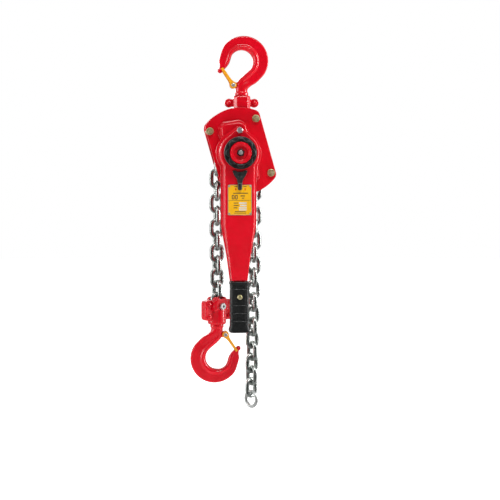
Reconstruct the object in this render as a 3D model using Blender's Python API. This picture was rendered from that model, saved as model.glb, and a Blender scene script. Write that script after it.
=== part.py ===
"""Lever chain hoist, 3.2 t class, as an assembly of its separate pieces.

Lengths in the functions below are millimetres; mesh_object() turns them into metres.
X is to the right, Y to the rear and Z up. The world origin is the seat of the top hook, the point
that a beam clamp or shackle touches. Most pieces are laid out from the pinion shaft's axis, which runs
along Y through SHAFT_X, SHAFT_Z.
"""

import math

import bmesh
import bpy
from mathutils import Matrix, Vector

MM = 0.001
GAP = 0.35

# Chain: round steel links
WIRE = 10.0
PITCH = 28.0
LINK_HALF_WIDTH = 12.0
LINK_HALF_LENGTH = 18.9
LINK_SIDES = 5
SHEAVE_POCKETS = 5
POCKET_ANGLE = 180 / SHEAVE_POCKETS
CHAIN_RADIUS = PITCH / 2 / math.tan(math.radians(POCKET_ANGLE / 2))
LOAD_LINKS = 12
SLACK_LINKS = 19
BLOCK_YAW = 33.0
SLACK_TWIST = 38.0
SLACK_LEAN = 8.0
STOP_RING_RADIUS = 17.0
STOP_RING_WIRE = 4.2

# Hook: shank on the load line, bowl centre above the collar
SHANK_RADIUS = 13.3
COLLAR_RADIUS = 16.5
COLLAR_HEIGHT = 7.0
BOWL_RADIUS = 25.5
BOWL_HEIGHT = 75.7
BACK_RADIUS = 55.3
BACK_CENTRE = (5.3, 78.3)
LATCH_PIVOT = (-19.0, 23.5)
LATCH_TIP = (-45.0, 61.5)
HOOK_SEAT = BOWL_HEIGHT + BOWL_RADIUS

# Frame
COLLAR_OVER_SHAFT = 129.7
SHAFT_X = -13.0
SHAFT_Z = -(HOOK_SEAT + COLLAR_OVER_SHAFT)
PLATE_INNER = 23.0
PLATE_OUTER = 27.0
PLATE_TILT = 15.7
PLATE_CENTRE = (9.0, 4.9)
PLATE_RADIUS = 97.5
PLATE_HALF_WIDTH = 63.3
STAY_CENTRE = (8.3, 2.7)
STAY_HALF_WIDTH = 53.5
STAY_HALF_HEIGHT = 62.9
STAY_SHOULDER = 7.0
STAYS = ((-1, 1), (1, 1), (1, -1))
YOKE_PIN_HEIGHT = 78.0
YOKE_EAR_HEIGHT = 113.0
YOKE_EAR_REACH = 28.5
HOOK_PIN_RADIUS = 7.0
HOOK_PIN_Y = (-25.3, 26.8)
SHAFT_BORE = 19.5

# Gear train: two stages of three to one, side by side
GEAR_DISTANCE = 40.0
FIRST_TEETH = (10, 30)
SECOND_TEETH = (8, 24)
LOAD_GEAR_Y = (30.0, 42.0)
FIRST_STAGE_Y = (44.5, 55.0)
GEAR_COVER_Y = (27.35, 68.0)
FIRST_MODULE = 2.0
SECOND_MODULE = 2.5
GEAR_PLAY = 0.5
LONG_AXIS = math.radians(90 + PLATE_TILT)

# Brake and lever, from the front plate outwards
BRAKE_COVER_Y = (-27.35, -61.5)
RATCHET_TIP = 38.0
RATCHET_ROOT = 32.5
RATCHET_TEETH = 10
RATCHET_PHASE = math.radians(100.7)
BRAKE_PAWL_PIVOT = (-25.5, 54.5)
BRAKE_PAWL_REACH = 26.0
BRAKE_PAWL_ANGLE = math.radians(-30)
LEVER_BACK_Y = -64.3
LEVER_SEAM_Y = -67.3
LEVER_FRONT_Y = -98.0
LEVER_WALL = 3.0
LOBE_HEIGHT = 49.2
SELECTOR_DROP = 51.6
CHANGE_TEETH = 20
CHANGE_TIP = 30.0
CHANGE_ROOT = 26.0
PAWL_ARM = 24.0
PAWL_SPREAD = 35.0
GRIP_TOP = -281.0
GRIP_BOTTOM = -395.0
GRIP_SCREW_Z = -316.0
GRIP_CENTRE_Y = -82.0
WHEEL_Y = (-105.4, -126.5)
WHEEL_RADIUS = 35.6
WHEEL_LOBES = 8
WHEEL_NUT_Y = (-123.4, -117.9)

# Corners of the brake cover's outline, each with the radius that rounds it
COVER_CORNERS = (
    ((-42.5, 57.0), 6), ((-41.0, 39.0), 6), ((-36.6, 27.4), 6), ((-43.8, 9.7), 8), ((-43.8, -12.6), 8),
    ((-37.0, -36.0), 10), ((-33.0, -60.0), 8), ((52.0, -60.5), 6), ((49.2, -31.8), 10), ((56.7, 2.2), 14),
    ((41.9, 31.8), 12), ((27.1, 46.6), 10), ((18.2, 68.7), 8), ((3.4, 74.7), 12), ((-33.5, 68.7), 8),
)

# Block of the load hook
BLOCK_BOLT = -343.9
BLOCK_COLLAR = -386.0
BLOCK_EAR_REACH = 27.7
BLOCK_RIVETS = (-339.0, -367.0)

COLOURS = {
    "red_paint": ((0.62, 0.005, 0.015), 0.3, 0.0),
    "black_rubber": ((0.02, 0.02, 0.022), 0.6, 0.0),
    "black_plastic": ((0.03, 0.03, 0.035), 0.45, 0.0),
    "zinc_chain": ((0.42, 0.44, 0.42), 0.32, 1.0),
    "zinc_steel": ((0.6, 0.61, 0.62), 0.3, 1.0),
    "yellow_zinc": ((0.55, 0.5, 0.28), 0.35, 1.0),
    "dark_steel": ((0.16, 0.16, 0.17), 0.4, 1.0),
    "amber_steel": ((0.85, 0.42, 0.01), 0.4, 0.0),
    "lining": ((0.2, 0.12, 0.07), 0.8, 0.0),
    "yellow_plate": ((0.9, 0.6, 0.03), 0.4, 0.0),
}


def clear_scene():
    for old in list(bpy.data.objects):
        bpy.data.objects.remove(old, do_unlink=True)


def make_material(name):
    colour, roughness, metallic = COLOURS[name]
    material = bpy.data.materials.new(name)
    material.use_nodes = True
    shader = material.node_tree.nodes["Principled BSDF"]
    shader.inputs["Base Color"].default_value = (*colour, 1)
    shader.inputs["Roughness"].default_value = roughness
    shader.inputs["Metallic"].default_value = metallic
    return material


def axis_empty(name, x, z, parent=None, y=0.0, yaw=0.0):
    """Empty on a joint's axis, x and z measured from its parent's, or from the hook seat."""
    empty = bpy.data.objects.new(name, None)
    bpy.context.scene.collection.objects.link(empty)
    empty.parent = parent
    empty.location = (x * MM, y * MM, z * MM)
    empty.rotation_euler.z = math.radians(yaw)
    return empty


def mesh_object(name, bm, material, parent):
    """Object from a bmesh in millimetres, in its parent empty's frame."""
    bmesh.ops.scale(bm, vec=(MM, MM, MM), verts=bm.verts)
    bmesh.ops.recalc_face_normals(bm, faces=bm.faces)
    mesh = bpy.data.meshes.new(name)
    bm.to_mesh(mesh)
    bm.free()
    mesh.shade_smooth()
    mesh.set_sharp_from_angle(angle=math.radians(35))
    mesh.materials.append(MATERIALS[material])
    made = bpy.data.objects.new(name, mesh)
    bpy.context.scene.collection.objects.link(made)
    made.parent = parent
    return made


def boolean(target, operation, bm):
    """Adds to or cuts from an object; the tool stays beside it as a hidden helper."""
    tool = mesh_object(target.name + "_tool", bm, "dark_steel", target.parent)
    tool.hide_render = True
    tool.display_type = "WIRE"
    modifier = target.modifiers.new(operation.lower(), "BOOLEAN")
    modifier.operation = operation
    modifier.solver = "EXACT"
    modifier.object = tool


def moved(bm, x=0.0, y=0.0, z=0.0):
    bmesh.ops.translate(bm, vec=(x, y, z), verts=bm.verts)
    return bm


def merged(meshes):
    """One bmesh that holds several bodies."""
    whole = bmesh.new()
    for part in meshes:
        spare = bpy.data.meshes.new("spare")
        part.to_mesh(spare)
        part.free()
        whole.from_mesh(spare)
        bpy.data.meshes.remove(spare)
    return whole


def loft(rings, closed=False):
    """Surface through rings of equally many points, capped at both ends or closed into a ring."""
    bm = bmesh.new()
    loops = [[bm.verts.new(point) for point in ring] for ring in rings]
    following = loops[1:] + loops[:1] if closed else loops[1:]
    for first, second in zip(loops, following):
        for i, point in enumerate(first):
            j = (i + 1) % len(first)
            bm.faces.new((point, first[j], second[j], second[i]))
    if not closed:
        bm.faces.new(loops[0])
        bm.faces.new(loops[-1])
    bmesh.ops.recalc_face_normals(bm, faces=bm.faces)
    return bm


def at_depth(outline, y):
    return [(x, y, z) for x, z in outline]


def prism(outline, y0, y1):
    return loft([at_depth(outline, y0), at_depth(outline, y1)])


def disc_outline(radius, segments=24, x=0.0, z=0.0, phase=0.0):
    turns = [phase + 2 * math.pi * i / segments for i in range(segments)]
    return [(x + radius * math.cos(a), z + radius * math.sin(a)) for a in turns]


def rod(radius, y0, y1, x=0.0, z=0.0, segments=20):
    return prism(disc_outline(radius, segments, x, z), y0, y1)


def turned(profile, x=0.0, z=0.0, segments=32):
    """Solid of revolution about Y from (radius, y) corners, its first and last radius capped flat."""
    return loft([at_depth(disc_outline(r, segments, x, z), y) for r, y in profile])


def upright(levels, segments):
    """Body of revolution about Z from (radius, z) corners."""
    turns = [2 * math.pi * i / segments for i in range(segments)]
    return loft([[(r * math.cos(a), r * math.sin(a), z) for a in turns] for r, z in levels])


def turned_ring(profile, segments=32, flats=0.0):
    """Hollow body of revolution about Y from a closed profile of (radius, y) corners.

    flats presses a flat at that distance from the axis for each pocket of the sheave."""
    rings = []
    for radius, y in profile:
        ring = []
        for i in range(segments):
            angle = 2 * math.pi * i / segments
            to_pocket = (angle + math.pi / SHEAVE_POCKETS) % (2 * math.pi / SHEAVE_POCKETS)
            to_pocket -= math.pi / SHEAVE_POCKETS
            limit = flats / math.cos(to_pocket)
            held = min(radius, limit) if flats < radius < flats + 3 else radius
            ring.append((held * math.cos(angle), y, held * math.sin(angle)))
        rings.append(ring)
    return loft(rings, closed=True)


def arc(x, z, radius, start, end, steps):
    """Points of an arc, its angles in degrees."""
    angles = [math.radians(start + (end - start) * i / steps) for i in range(steps + 1)]
    return [(x + radius * math.cos(a), z + radius * math.sin(a)) for a in angles]


def inset(points, distance):
    """Polygon with each side moved inwards; points run anticlockwise seen along +Y."""
    moved_in = []
    for i, here in enumerate(points):
        before = Vector(here) - Vector(points[i - 1])
        after = Vector(points[(i + 1) % len(points)]) - Vector(here)
        before.normalize()
        after.normalize()
        normal = Vector((-before.y, before.x)) + Vector((-after.y, after.x))
        shift = normal * distance * 2 / normal.length_squared
        moved_in.append((here[0] + shift.x, here[1] + shift.y))
    return moved_in


def rounded(points, radii, steps=3):
    """Polygon with its corners rounded, radii giving one radius for each corner."""
    result = []
    for i, here in enumerate(points):
        radius = radii[i] if isinstance(radii, (list, tuple)) else radii
        corner = Vector(here)
        back = Vector(points[i - 1]) - corner
        on = Vector(points[(i + 1) % len(points)]) - corner
        half = back.angle(on) / 2
        if radius <= 0:
            result.append(tuple(corner))
            continue
        reach = max(0.3, min(radius / math.tan(half), 0.48 * back.length, 0.48 * on.length))
        start = corner + back.normalized() * reach
        end = corner + on.normalized() * reach
        for step in range(steps + 1):
            t = step / steps
            point = start * (1 - t) ** 2 + corner * 2 * t * (1 - t) + end * t**2
            result.append(tuple(point))
    return result


def hexagon(across_flats, x=0.0, z=0.0):
    return disc_outline(across_flats / 2 / math.cos(math.pi / 6), 6, x, z)


def box(x0, x1, y0, y1, z0, z1):
    return prism([(x0, z0), (x1, z0), (x1, z1), (x0, z1)], y0, y1)


# Hooks


def hook_stations():
    """(inner point, outer point, inner half thickness, outer half thickness, squareness) along the hook."""
    stations = [((-13.3, 6.0), (13.3, 6.0), 13.3, 13.3, 1.0)]
    neck = (((-13.2, 16.0), (14.2, 14.5)), ((-11.5, 27.5), (21.5, 21.5)), ((-3.5, 38.5), (31.5, 27.5)))
    for step, (inner, outer) in enumerate(neck):
        share = (step + 1) / (len(neck) + 1)
        stations.append((inner, outer, 13.3 - 1.3 * share, 13.3 - 4.5 * share, 1 - 0.4 * share))
    for degrees in range(-50, 166, 18):
        angle = math.radians(degrees)
        around = Vector((math.cos(angle), math.sin(angle)))
        inner = tuple(Vector((0, BOWL_HEIGHT)) + around * BOWL_RADIUS)
        outer = tuple(Vector(BACK_CENTRE) + around * BACK_RADIUS)
        slim = max(0.0, (degrees - 90) / 75)
        stations.append((inner, outer, 12.0 - 2.5 * slim, 8.5 - 2 * slim, 0.6))
    stations.append(((-27.0, 73.0), (-50.4, 80.0), 8.6, 6.2, 0.65))
    stations.append(((-32.5, 64.5), (-50.4, 69.5), 7.4, 6.0, 0.75))
    stations.append(((-39.0, 57.8), (-53.8, 63.0), 6.6, 6.0, 0.9))
    stations.append(((-43.5, 53.2), (-56.2, 57.4), 6.0, 5.8, 1.0))
    stations.append(((-47.6, 51.0), (-54.6, 53.0), 3.4, 3.4, 1.0))
    return stations


def hook_body():
    """Forged hook: neck, bowl and tip, its thick bead inside and its thinner back outside."""
    rings = []
    for inner, outer, half_in, half_out, squareness in hook_stations():
        ring = []
        for i in range(10):
            angle = 2 * math.pi * i / 10
            across = 0.5 - 0.5 * math.cos(angle)
            half = half_in + (half_out - half_in) * across
            height = math.copysign(abs(math.sin(angle)) ** squareness, math.sin(angle))
            x = inner[0] + (outer[0] - inner[0]) * across
            z = inner[1] + (outer[1] - inner[1]) * across
            ring.append((x, half * height, z))
        rings.append(ring)
    return loft(rings)


def make_hook(name, parent):
    """Hook with its collar, its swivel head below and the lug that holds the latch pin."""
    hook = mesh_object(name, hook_body(), "red_paint", parent)
    levels = ((15.5, -17.0), (15.5, -8.6), (11.0, -8.2), (11.0, 0.0), (COLLAR_RADIUS, 0.0))
    levels += ((COLLAR_RADIUS, COLLAR_HEIGHT), (SHANK_RADIUS - 0.8, COLLAR_HEIGHT + 1.5))
    boolean(hook, "UNION", upright(levels, 18))
    x, z = LATCH_PIVOT
    lug = rounded([(x - 6, z - 5), (x + 14, z - 9), (x + 12, z + 6), (x - 5, z + 6)], 5)
    boolean(hook, "UNION", prism(lug, -5.0, 5.0))
    boolean(hook, "DIFFERENCE", rod(2.6, -20, 20, x, z, 14))
    return hook


def make_latch(name, parent):
    """Pressed latch: two cheeks astride the lug and the hook's tip, joined by a web on the bowl side."""
    reach = math.dist(LATCH_PIVOT, LATCH_TIP)
    turn = math.atan2(LATCH_TIP[1] - LATCH_PIVOT[1], LATCH_TIP[0] - LATCH_PIVOT[0])
    outline = arc(0, 0, 7.5, 60, 300, 8) + arc(reach - 3, 0, 3.0, -90, 90, 4)
    cheeks = prism(outline, -10.2, 10.2)
    bmesh.ops.rotate(cheeks, cent=(0, 0, 0), matrix=Matrix.Rotation(-turn, 3, "Y"), verts=cheeks.verts)
    latch = mesh_object(name, cheeks, "amber_steel", parent)
    web_end = reach - 8.5
    hollow = prism([(-12, -12), (12, -12), (12, -1.3), (web_end, -1.3), (web_end, -12), (reach + 5, -12),
                    (reach + 5, 12), (-12, 12)], -8.7, 8.7)
    bmesh.ops.rotate(hollow, cent=(0, 0, 0), matrix=Matrix.Rotation(-turn, 3, "Y"), verts=hollow.verts)
    boolean(latch, "DIFFERENCE", hollow)
    boolean(latch, "DIFFERENCE", rod(2.7, -20, 20, 0, 0, 14))
    return latch


def make_latch_pin(name, parent):
    """Pin riveted over at both ends, a spring coil lying round it inside the latch."""
    profile = ((4.4, -12.4), (4.4, -10.6), (2.3, -10.5), (2.3, 10.5), (4.4, 10.6), (4.4, 12.4))
    return mesh_object(name, turned(profile, segments=14), "zinc_steel", parent)


def make_latch_spring(name, parent):
    """Torsion spring round the pin, between the lug and one cheek of the latch."""
    rings = []
    for step in range(25):
        angle = 2 * math.pi * step / 10
        along = Vector((math.cos(angle), 0, math.sin(angle)))
        centre = along * 3.5 + Vector((0, -5.8 - 2.3 * step / 24, 0))
        rings.append([tuple(centre + along * dx * 0.45 + Vector((0, dy * 0.45, 0)))
                      for dx, dy in ((1, 0), (0, 1), (-1, 0), (0, -1))])
    return mesh_object(name, loft(rings), "zinc_steel", parent)


# Chain


def link():
    """One link along Z, its width along X."""
    straight = LINK_HALF_LENGTH - LINK_HALF_WIDTH
    path = arc(0, straight, LINK_HALF_WIDTH, 0, 180, 4) + arc(0, -straight, LINK_HALF_WIDTH, 180, 360, 4)
    rings = []
    for x, z in path:
        centre = Vector((0, straight if z > 0 else -straight))
        outward = (Vector((x, z)) - centre).normalized()
        ring = []
        for i in range(LINK_SIDES):
            angle = math.pi + 2 * math.pi * i / LINK_SIDES
            out = WIRE / 2 * math.cos(angle)
            ring.append((x + out * outward.x, WIRE / 2 * math.sin(angle), z + out * outward.y))
        rings.append(ring)
    return loft(rings, closed=True)


def placed_link(matrix):
    bm = link()
    bmesh.ops.transform(bm, matrix=matrix, verts=bm.verts)
    return bm


def make_chain(name, places, parent):
    """Links that hang in each other: every second one joined to those between."""
    links = [placed_link(place) for place in places]
    chain = mesh_object(name, merged(links[0::2]), "zinc_chain", parent)
    boolean(chain, "UNION", merged(links[1::2]))
    return chain


def hanging_places(count, first_edge_on, twist, lean):
    """Places of the links below the sheave; they lie across it in turn and twist towards the end."""
    places = []
    for number in range(1, count + 1):
        along = (number / count) ** 1.5
        edge_on = (number % 2 == 1) == first_edge_on
        turn = Matrix.Rotation(math.radians(twist * along + 90 * edge_on), 4, "Z")
        places.append(Matrix.Translation((-lean * along, 0, -PITCH * number)) @ turn)
    return places


def wrapped_places():
    places = []
    for step in range(1, SHEAVE_POCKETS):
        around = Matrix.Rotation(math.radians(POCKET_ANGLE * step), 4, "Y")
        edge_on = Matrix.Rotation(math.radians(90 * (step % 2)), 4, "Z")
        places.append(around @ Matrix.Translation((-CHAIN_RADIUS, 0, 0)) @ edge_on)
    return places


# Gears


def involute_roll(radius, base):
    """Angle that an involute turns through between its base circle and a radius."""
    held = math.acos(min(1.0, base / radius))
    return math.tan(held) - held


def gear_outline(teeth, module, phase, addendum=0.8, dedendum=1.05, pressure=25.0):
    """Involute outline, phase being the angle of one tooth's centre; GEAR_PLAY thins each tooth."""
    pitch_radius = teeth * module / 2
    base = pitch_radius * math.cos(math.radians(pressure))
    tip = pitch_radius + addendum * module
    root = pitch_radius - dedendum * module
    at_base = (math.pi * module / 2 - GEAR_PLAY) / 2 / pitch_radius + involute_roll(pitch_radius, base)
    radii = (root, pitch_radius, tip) if teeth < 12 else (root, tip)
    flank = [(radius, at_base - involute_roll(max(radius, base), base)) for radius in radii]
    outline = []
    for tooth in range(teeth):
        centre = phase + 2 * math.pi * tooth / teeth
        sides = [(r, -a) for r, a in flank] + [(r, a) for r, a in reversed(flank)]
        outline += [(r * math.cos(centre + a), r * math.sin(centre + a)) for r, a in sides]
    return outline


def washer(radius, bore, y0, y1, segments=20):
    return turned_ring(((bore, y0), (radius, y0), (radius, y1), (bore, y1)), segments)


def saw_outline(teeth, root, tip, phase):
    """Ratchet outline, each tooth with one steep side."""
    outline = []
    for tooth in range(teeth):
        start = phase + 2 * math.pi * tooth / teeth
        for radius, share in ((root, 0.28), (tip, 0.7), (tip, 0.94), (root, 1.0)):
            angle = start + 2 * math.pi * share / teeth
            outline.append((radius * math.cos(angle), radius * math.sin(angle)))
    return outline


def notch_outline(teeth, root, tip, phase, solid=0.36):
    """Straight-sided teeth for a pawl that pushes either way."""
    outline = []
    for tooth in range(teeth):
        centre = phase + 2 * math.pi * tooth / teeth
        for radius, share in ((root, -0.62), (tip, -0.4), (tip, 0.4), (root, 0.62)):
            angle = centre + share * solid * 2 * math.pi / teeth
            outline.append((radius * math.cos(angle), radius * math.sin(angle)))
    return outline


# Frame


def plate_point(x, z, centre=PLATE_CENTRE):
    """A point of the side plates' own tilted layout, measured from the shaft."""
    turn = Matrix.Rotation(math.radians(PLATE_TILT), 2)
    return tuple(turn @ Vector((x, z)) + Vector(centre))


def plate_outline():
    corner = math.degrees(math.acos(PLATE_HALF_WIDTH / PLATE_RADIUS))
    right = arc(0, 0, PLATE_RADIUS, corner, 180 - corner, 9)
    left = arc(0, 0, PLATE_RADIUS, 180 + corner, 360 - corner, 9)
    radii = ([6] + [0] * 8 + [6]) * 2
    return [plate_point(x, z) for x, z in rounded(right + left, radii)]


def stay_places():
    return [plate_point(x * STAY_HALF_WIDTH, z * STAY_HALF_HEIGHT, STAY_CENTRE) for x, z in STAYS]


def second_gear_places():
    """Centres of the two second gears, above and below the shaft along the plates' long axis."""
    along = Matrix.Rotation(math.radians(PLATE_TILT), 2) @ Vector((0, GEAR_DISTANCE))
    return [tuple(along), tuple(-along)]


def make_side_plates(frame):
    """Front and rear plate; the front one holds the hook's pin in a pocket that stops inside the plate."""
    plates = (("front_side_plate", -PLATE_OUTER, -PLATE_INNER, (HOOK_PIN_Y[0] - 0.3, -PLATE_INNER + 2)),
              ("rear_side_plate", PLATE_INNER, PLATE_OUTER, (PLATE_INNER - 2, PLATE_OUTER + 2)))
    for name, y0, y1, pin_hole in plates:
        plate = mesh_object(name, prism(plate_outline(), y0, y1), "red_paint", frame)
        holes = [rod(SHAFT_BORE, y0 - 2, y1 + 2, segments=28)]
        holes += [rod(HOOK_PIN_RADIUS + 0.4, *pin_hole, -SHAFT_X, YOKE_PIN_HEIGHT)]
        holes += [rod(5.4, y0 - 2, y1 + 2, x, z, 16) for x, z in stay_places()]
        if y1 > 0:
            holes += [rod(6.4, y0 - 2, y1 + 2, x, z, 16) for x, z in second_gear_places()]
        boolean(plate, "DIFFERENCE", merged(holes))


def make_stays(frame):
    """Three shouldered stay bolts that keep the plates apart, each with its nut in front."""
    for number, (x, z) in enumerate(stay_places(), 1):
        between = PLATE_INNER - GAP
        shank = ((5.0, -36.0), (5.0, -between), (STAY_SHOULDER, -between), (STAY_SHOULDER, between),
                 (5.0, between), (5.0, PLATE_OUTER + 2))
        bolt = mesh_object(f"stay_bolt_{number}", turned(shank, x, z, 16), "yellow_zinc", frame)
        boolean(bolt, "UNION", prism(hexagon(14.5, x, z), PLATE_OUTER + GAP, PLATE_OUTER + 6.5))
        hex_nut = prism(hexagon(14.5, x, z), -PLATE_OUTER - 7.5, -PLATE_OUTER - 2)
        nut = mesh_object(f"stay_nut_{number}", hex_nut, "yellow_zinc", frame)
        boolean(nut, "UNION", rod(8.6, -PLATE_OUTER - 2.6, -PLATE_OUTER - GAP, x, z, 16))
        boolean(nut, "DIFFERENCE", rod(5.5, -PLATE_OUTER - 12, -PLATE_OUTER + 3, x, z, 12))


def stadium(half_width, reach):
    """Outline of two half rounds on the second gears' axes."""
    ends = arc(0, reach, half_width, 0, 180, 8) + arc(0, -reach, half_width, 180, 360, 8)
    turn = Matrix.Rotation(math.radians(PLATE_TILT), 2)
    return [tuple(turn @ Vector(point)) for point in ends]


def make_gear_cover(frame):
    near, far = GEAR_COVER_Y
    wall = 3.0
    rings = [(35.5, far - wall), (35.5, near), (42.0, near), (42.0, near + 3), (39.5, near + 3.6),
             (38.5, far - 4), (37.3, far - 1.2), (34.5, far)]
    shell = loft([at_depth(stadium(radius, GEAR_DISTANCE), y) for radius, y in rings])
    cover = mesh_object("gear_cover", shell, "red_paint", frame)
    sockets = [washer(10, 6.5, 58.5, far - wall + 1, 14) for _ in range(2)]
    for socket, (x, z) in zip(sockets, second_gear_places()):
        moved(socket, x, 0, z)
    boolean(cover, "UNION", merged(sockets))


def cover_outline(depth):
    corners = [corner for corner, _ in COVER_CORNERS]
    return rounded(inset(corners, depth), [radius for _, radius in COVER_CORNERS], 2)


def make_brake_cover(frame):
    near, far = BRAKE_COVER_Y
    wall = 2.5
    levels = [(wall + 1.0, far + wall), (wall, near), (0, near), (0.4, far + 7), (2.2, far + 2.2), (6.5, far)]
    shell = loft([at_depth(cover_outline(depth), y) for depth, y in levels])
    cover = mesh_object("brake_cover", shell, "red_paint", frame)
    boolean(cover, "DIFFERENCE", rod(24.0, far - 3, far + 5, segments=32))


def make_chain_guide(frame):
    """Block below the sheave with the finger that strips the chain from its groove."""
    block = [(-23, -56), (-17, -80), (17, -80), (23, -56)]
    finger = [(4, -52), (4, -33), (-4, -33), (-4, -52)]
    outline = rounded(block + finger, [3, 6, 6, 3, 2, 1, 1, 2], 2)
    body = mesh_object("chain_guide", prism(outline, -4.2, 4.2), "dark_steel", frame)
    foot = rounded(block, [3, 6, 6, 3], 2)
    boolean(body, "UNION", prism(foot, -PLATE_INNER + GAP, PLATE_INNER - GAP))


def make_bearings(frame):
    bearings = (("sheave_bearing_front", -PLATE_OUTER, -21.7), ("sheave_bearing_rear", 21.7, PLATE_OUTER))
    for name, y0, y1 in bearings:
        mesh_object(name, washer(19.15, 12.5, y0, y1, 24), "dark_steel", frame)


def make_pawl_pin(frame):
    """Shouldered pin on the front plate that carries the brake pawl."""
    profile = ((3.2, -48.5), (3.2, -40.4), (5.0, -40.3), (5.0, -PLATE_OUTER - GAP))
    mesh_object("brake_pawl_pin", turned(profile, *BRAKE_PAWL_PIVOT, 12), "zinc_steel", frame)


def make_frame(frame):
    make_pawl_pin(frame)
    make_side_plates(frame)
    make_stays(frame)
    make_gear_cover(frame)
    make_brake_cover(frame)
    make_chain_guide(frame)
    make_bearings(frame)


# Top hook and its yoke


def octagon(half, cut):
    return [(half, -half + cut), (half, half - cut), (half - cut, half), (-half + cut, half),
            (-half, half - cut), (-half, -half + cut), (-half + cut, -half), (half - cut, -half)]


def yoke_half(side):
    """Shapes of one half of the top yoke, from the swivel axis at the collar's lower face.

    Its shoulder rests on the stay bolt beside it when the hoist hangs."""
    top = -0.4
    ear = YOKE_EAR_HEIGHT - COLLAR_OVER_SHAFT
    pin = YOKE_PIN_HEIGHT - COLLAR_OVER_SHAFT
    levels = ((15.0, top), (18.0, top - 3.0), (19.0, top - 7.0), (19.0, pin - 18.0))
    body = loft([[(x, y, z) for x, y in octagon(half, 0.55 * half)] for half, z in levels])
    flanks = [(19.5, pin + 5.5), (60, pin + 5.5), (60, 20), (-60, 20), (-60, pin + 18), (-19.5, pin + 13)]
    profile = arc(0, pin, 14.5, 180, 360, 8) + flanks
    keep = prism(profile, min(side * 0.15, side * 40), max(side * 0.15, side * 40))
    ears = [(-YOKE_EAR_REACH, ear - 10), (YOKE_EAR_REACH, ear - 10), (YOKE_EAR_REACH + 10, ear),
            (YOKE_EAR_REACH, ear + 10), (-YOKE_EAR_REACH, ear + 10), (-YOKE_EAR_REACH - 10, ear)]
    ear_outline = rounded(ears, [9, 9, 7, 9, 9, 7])
    ear_plate = prism(ear_outline, min(side * 0.1, side * 6.5), max(side * 0.1, side * 6.5))
    stop_x = stay_places()[1][0] + SHAFT_X
    stop_z = pin + stay_places()[1][1] - YOKE_PIN_HEIGHT + STAY_SHOULDER + GAP
    shoulder = box(10, stop_x + 3, min(side * 0.1, side * 14), max(side * 0.1, side * 14), stop_z, stop_z + 9)
    return body, ear_plate, shoulder, keep


def make_yoke(parent):
    for name, side in (("top_yoke_front", -1), ("top_yoke_rear", 1)):
        body, ear_plate, shoulder, keep = yoke_half(side)
        half = mesh_object(name, body, "red_paint", parent)
        boolean(half, "UNION", ear_plate)
        boolean(half, "UNION", shoulder)
        boolean(half, "INTERSECT", keep)
        cavity = ((11.4, 4), (11.4, -8.0), (16.0, -8.1), (16.0, -17.6), (9.0, -20.0))
        boolean(half, "DIFFERENCE", upright(cavity, 18))
        pin = YOKE_PIN_HEIGHT - COLLAR_OVER_SHAFT
        ear = YOKE_EAR_HEIGHT - COLLAR_OVER_SHAFT
        bores = [rod(7.4, -40, 40, 0, pin), rod(3.9, -40, 40, YOKE_EAR_REACH, ear, 12),
                 rod(3.9, -40, 40, -YOKE_EAR_REACH, ear, 12)]
        boolean(half, "DIFFERENCE", merged(bores))
    for name, x in (("top_yoke_rivet_left", -YOKE_EAR_REACH), ("top_yoke_rivet_right", YOKE_EAR_REACH)):
        make_rivet(name, x, YOKE_EAR_HEIGHT - COLLAR_OVER_SHAFT, 6.9, parent)


def make_rivet(name, x, z, half, parent):
    """Rivet through two ears, with a domed head on each side."""
    profile = ((4.0, -half - 3.4), (6.0, -half), (3.4, -half + 0.05),
               (3.4, half - 0.05), (6.0, half), (4.0, half + 3.4))
    return mesh_object(name, turned(profile, x, z, 12), "red_paint", parent)


# Sheave, shaft and gears


def make_sheave(parent):
    profile = ((9.6, -26.5), (12.0, -26.5), (12.0, -21.2), (49.0, -21.0), (48.0, -17.6), (37.4, -17.4),
               (37.4, -6.4), (25.4, -5.9), (25.4, 5.9), (37.4, 6.4), (37.4, 17.4), (48.0, 17.6), (49.0, 21.0),
               (12.0, 21.2), (12.0, 42.5), (9.6, 42.5))
    mesh_object("load_sheave", turned_ring(profile, 25, 36.2), "dark_steel", parent)
    outline = gear_outline(SECOND_TEETH[1], SECOND_MODULE, mesh_phase_of_load_gear())
    gear = mesh_object("load_gear", prism(outline, *LOAD_GEAR_Y), "dark_steel", parent)
    boolean(gear, "DIFFERENCE", rod(12.5, LOAD_GEAR_Y[0] - 3, LOAD_GEAR_Y[1] + 3, segments=24))
    make_chain("sheave_chain", wrapped_places(), parent)


def mesh_phase_of_load_gear():
    """A tooth space of the load gear lies on the line to each second gear."""
    return LONG_AXIS + math.pi / SECOND_TEETH[1]


def make_second_gears(empties):
    """Large wheel driven by the shaft and small pinion that drives the load gear, one body each."""
    for number, empty in enumerate(empties, 1):
        to_shaft = LONG_AXIS + math.pi * number
        wheel = gear_outline(FIRST_TEETH[1], FIRST_MODULE, to_shaft + math.pi / FIRST_TEETH[1])
        pinion = gear_outline(SECOND_TEETH[0], SECOND_MODULE, to_shaft)
        gear = mesh_object(f"second_gear_{number}", prism(wheel, *FIRST_STAGE_Y), "dark_steel", empty)
        boolean(gear, "UNION", prism(pinion, LOAD_GEAR_Y[0] - 0.5, FIRST_STAGE_Y[0] + 1))
        boolean(gear, "UNION", rod(5.9, 22.0, 64.5, segments=16))


def make_shaft(parent):
    """Pinion shaft: teeth at its rear end, a long body through the sheave, thread and nut end in front."""
    profile = ((4.2, -125.0), (5.0, -124.0), (5.0, -117.5), (7.0, -117.0), (7.0, -97.0), (9.0, -96.6),
               (9.0, 44.0), (6.5, 44.4), (6.5, 64.0))
    shaft = mesh_object("pinion_shaft", turned(profile, segments=20), "dark_steel", parent)
    teeth = gear_outline(FIRST_TEETH[0], FIRST_MODULE, LONG_AXIS)
    boolean(shaft, "UNION", prism(teeth, 43.0, FIRST_STAGE_Y[1] + 1))


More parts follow.
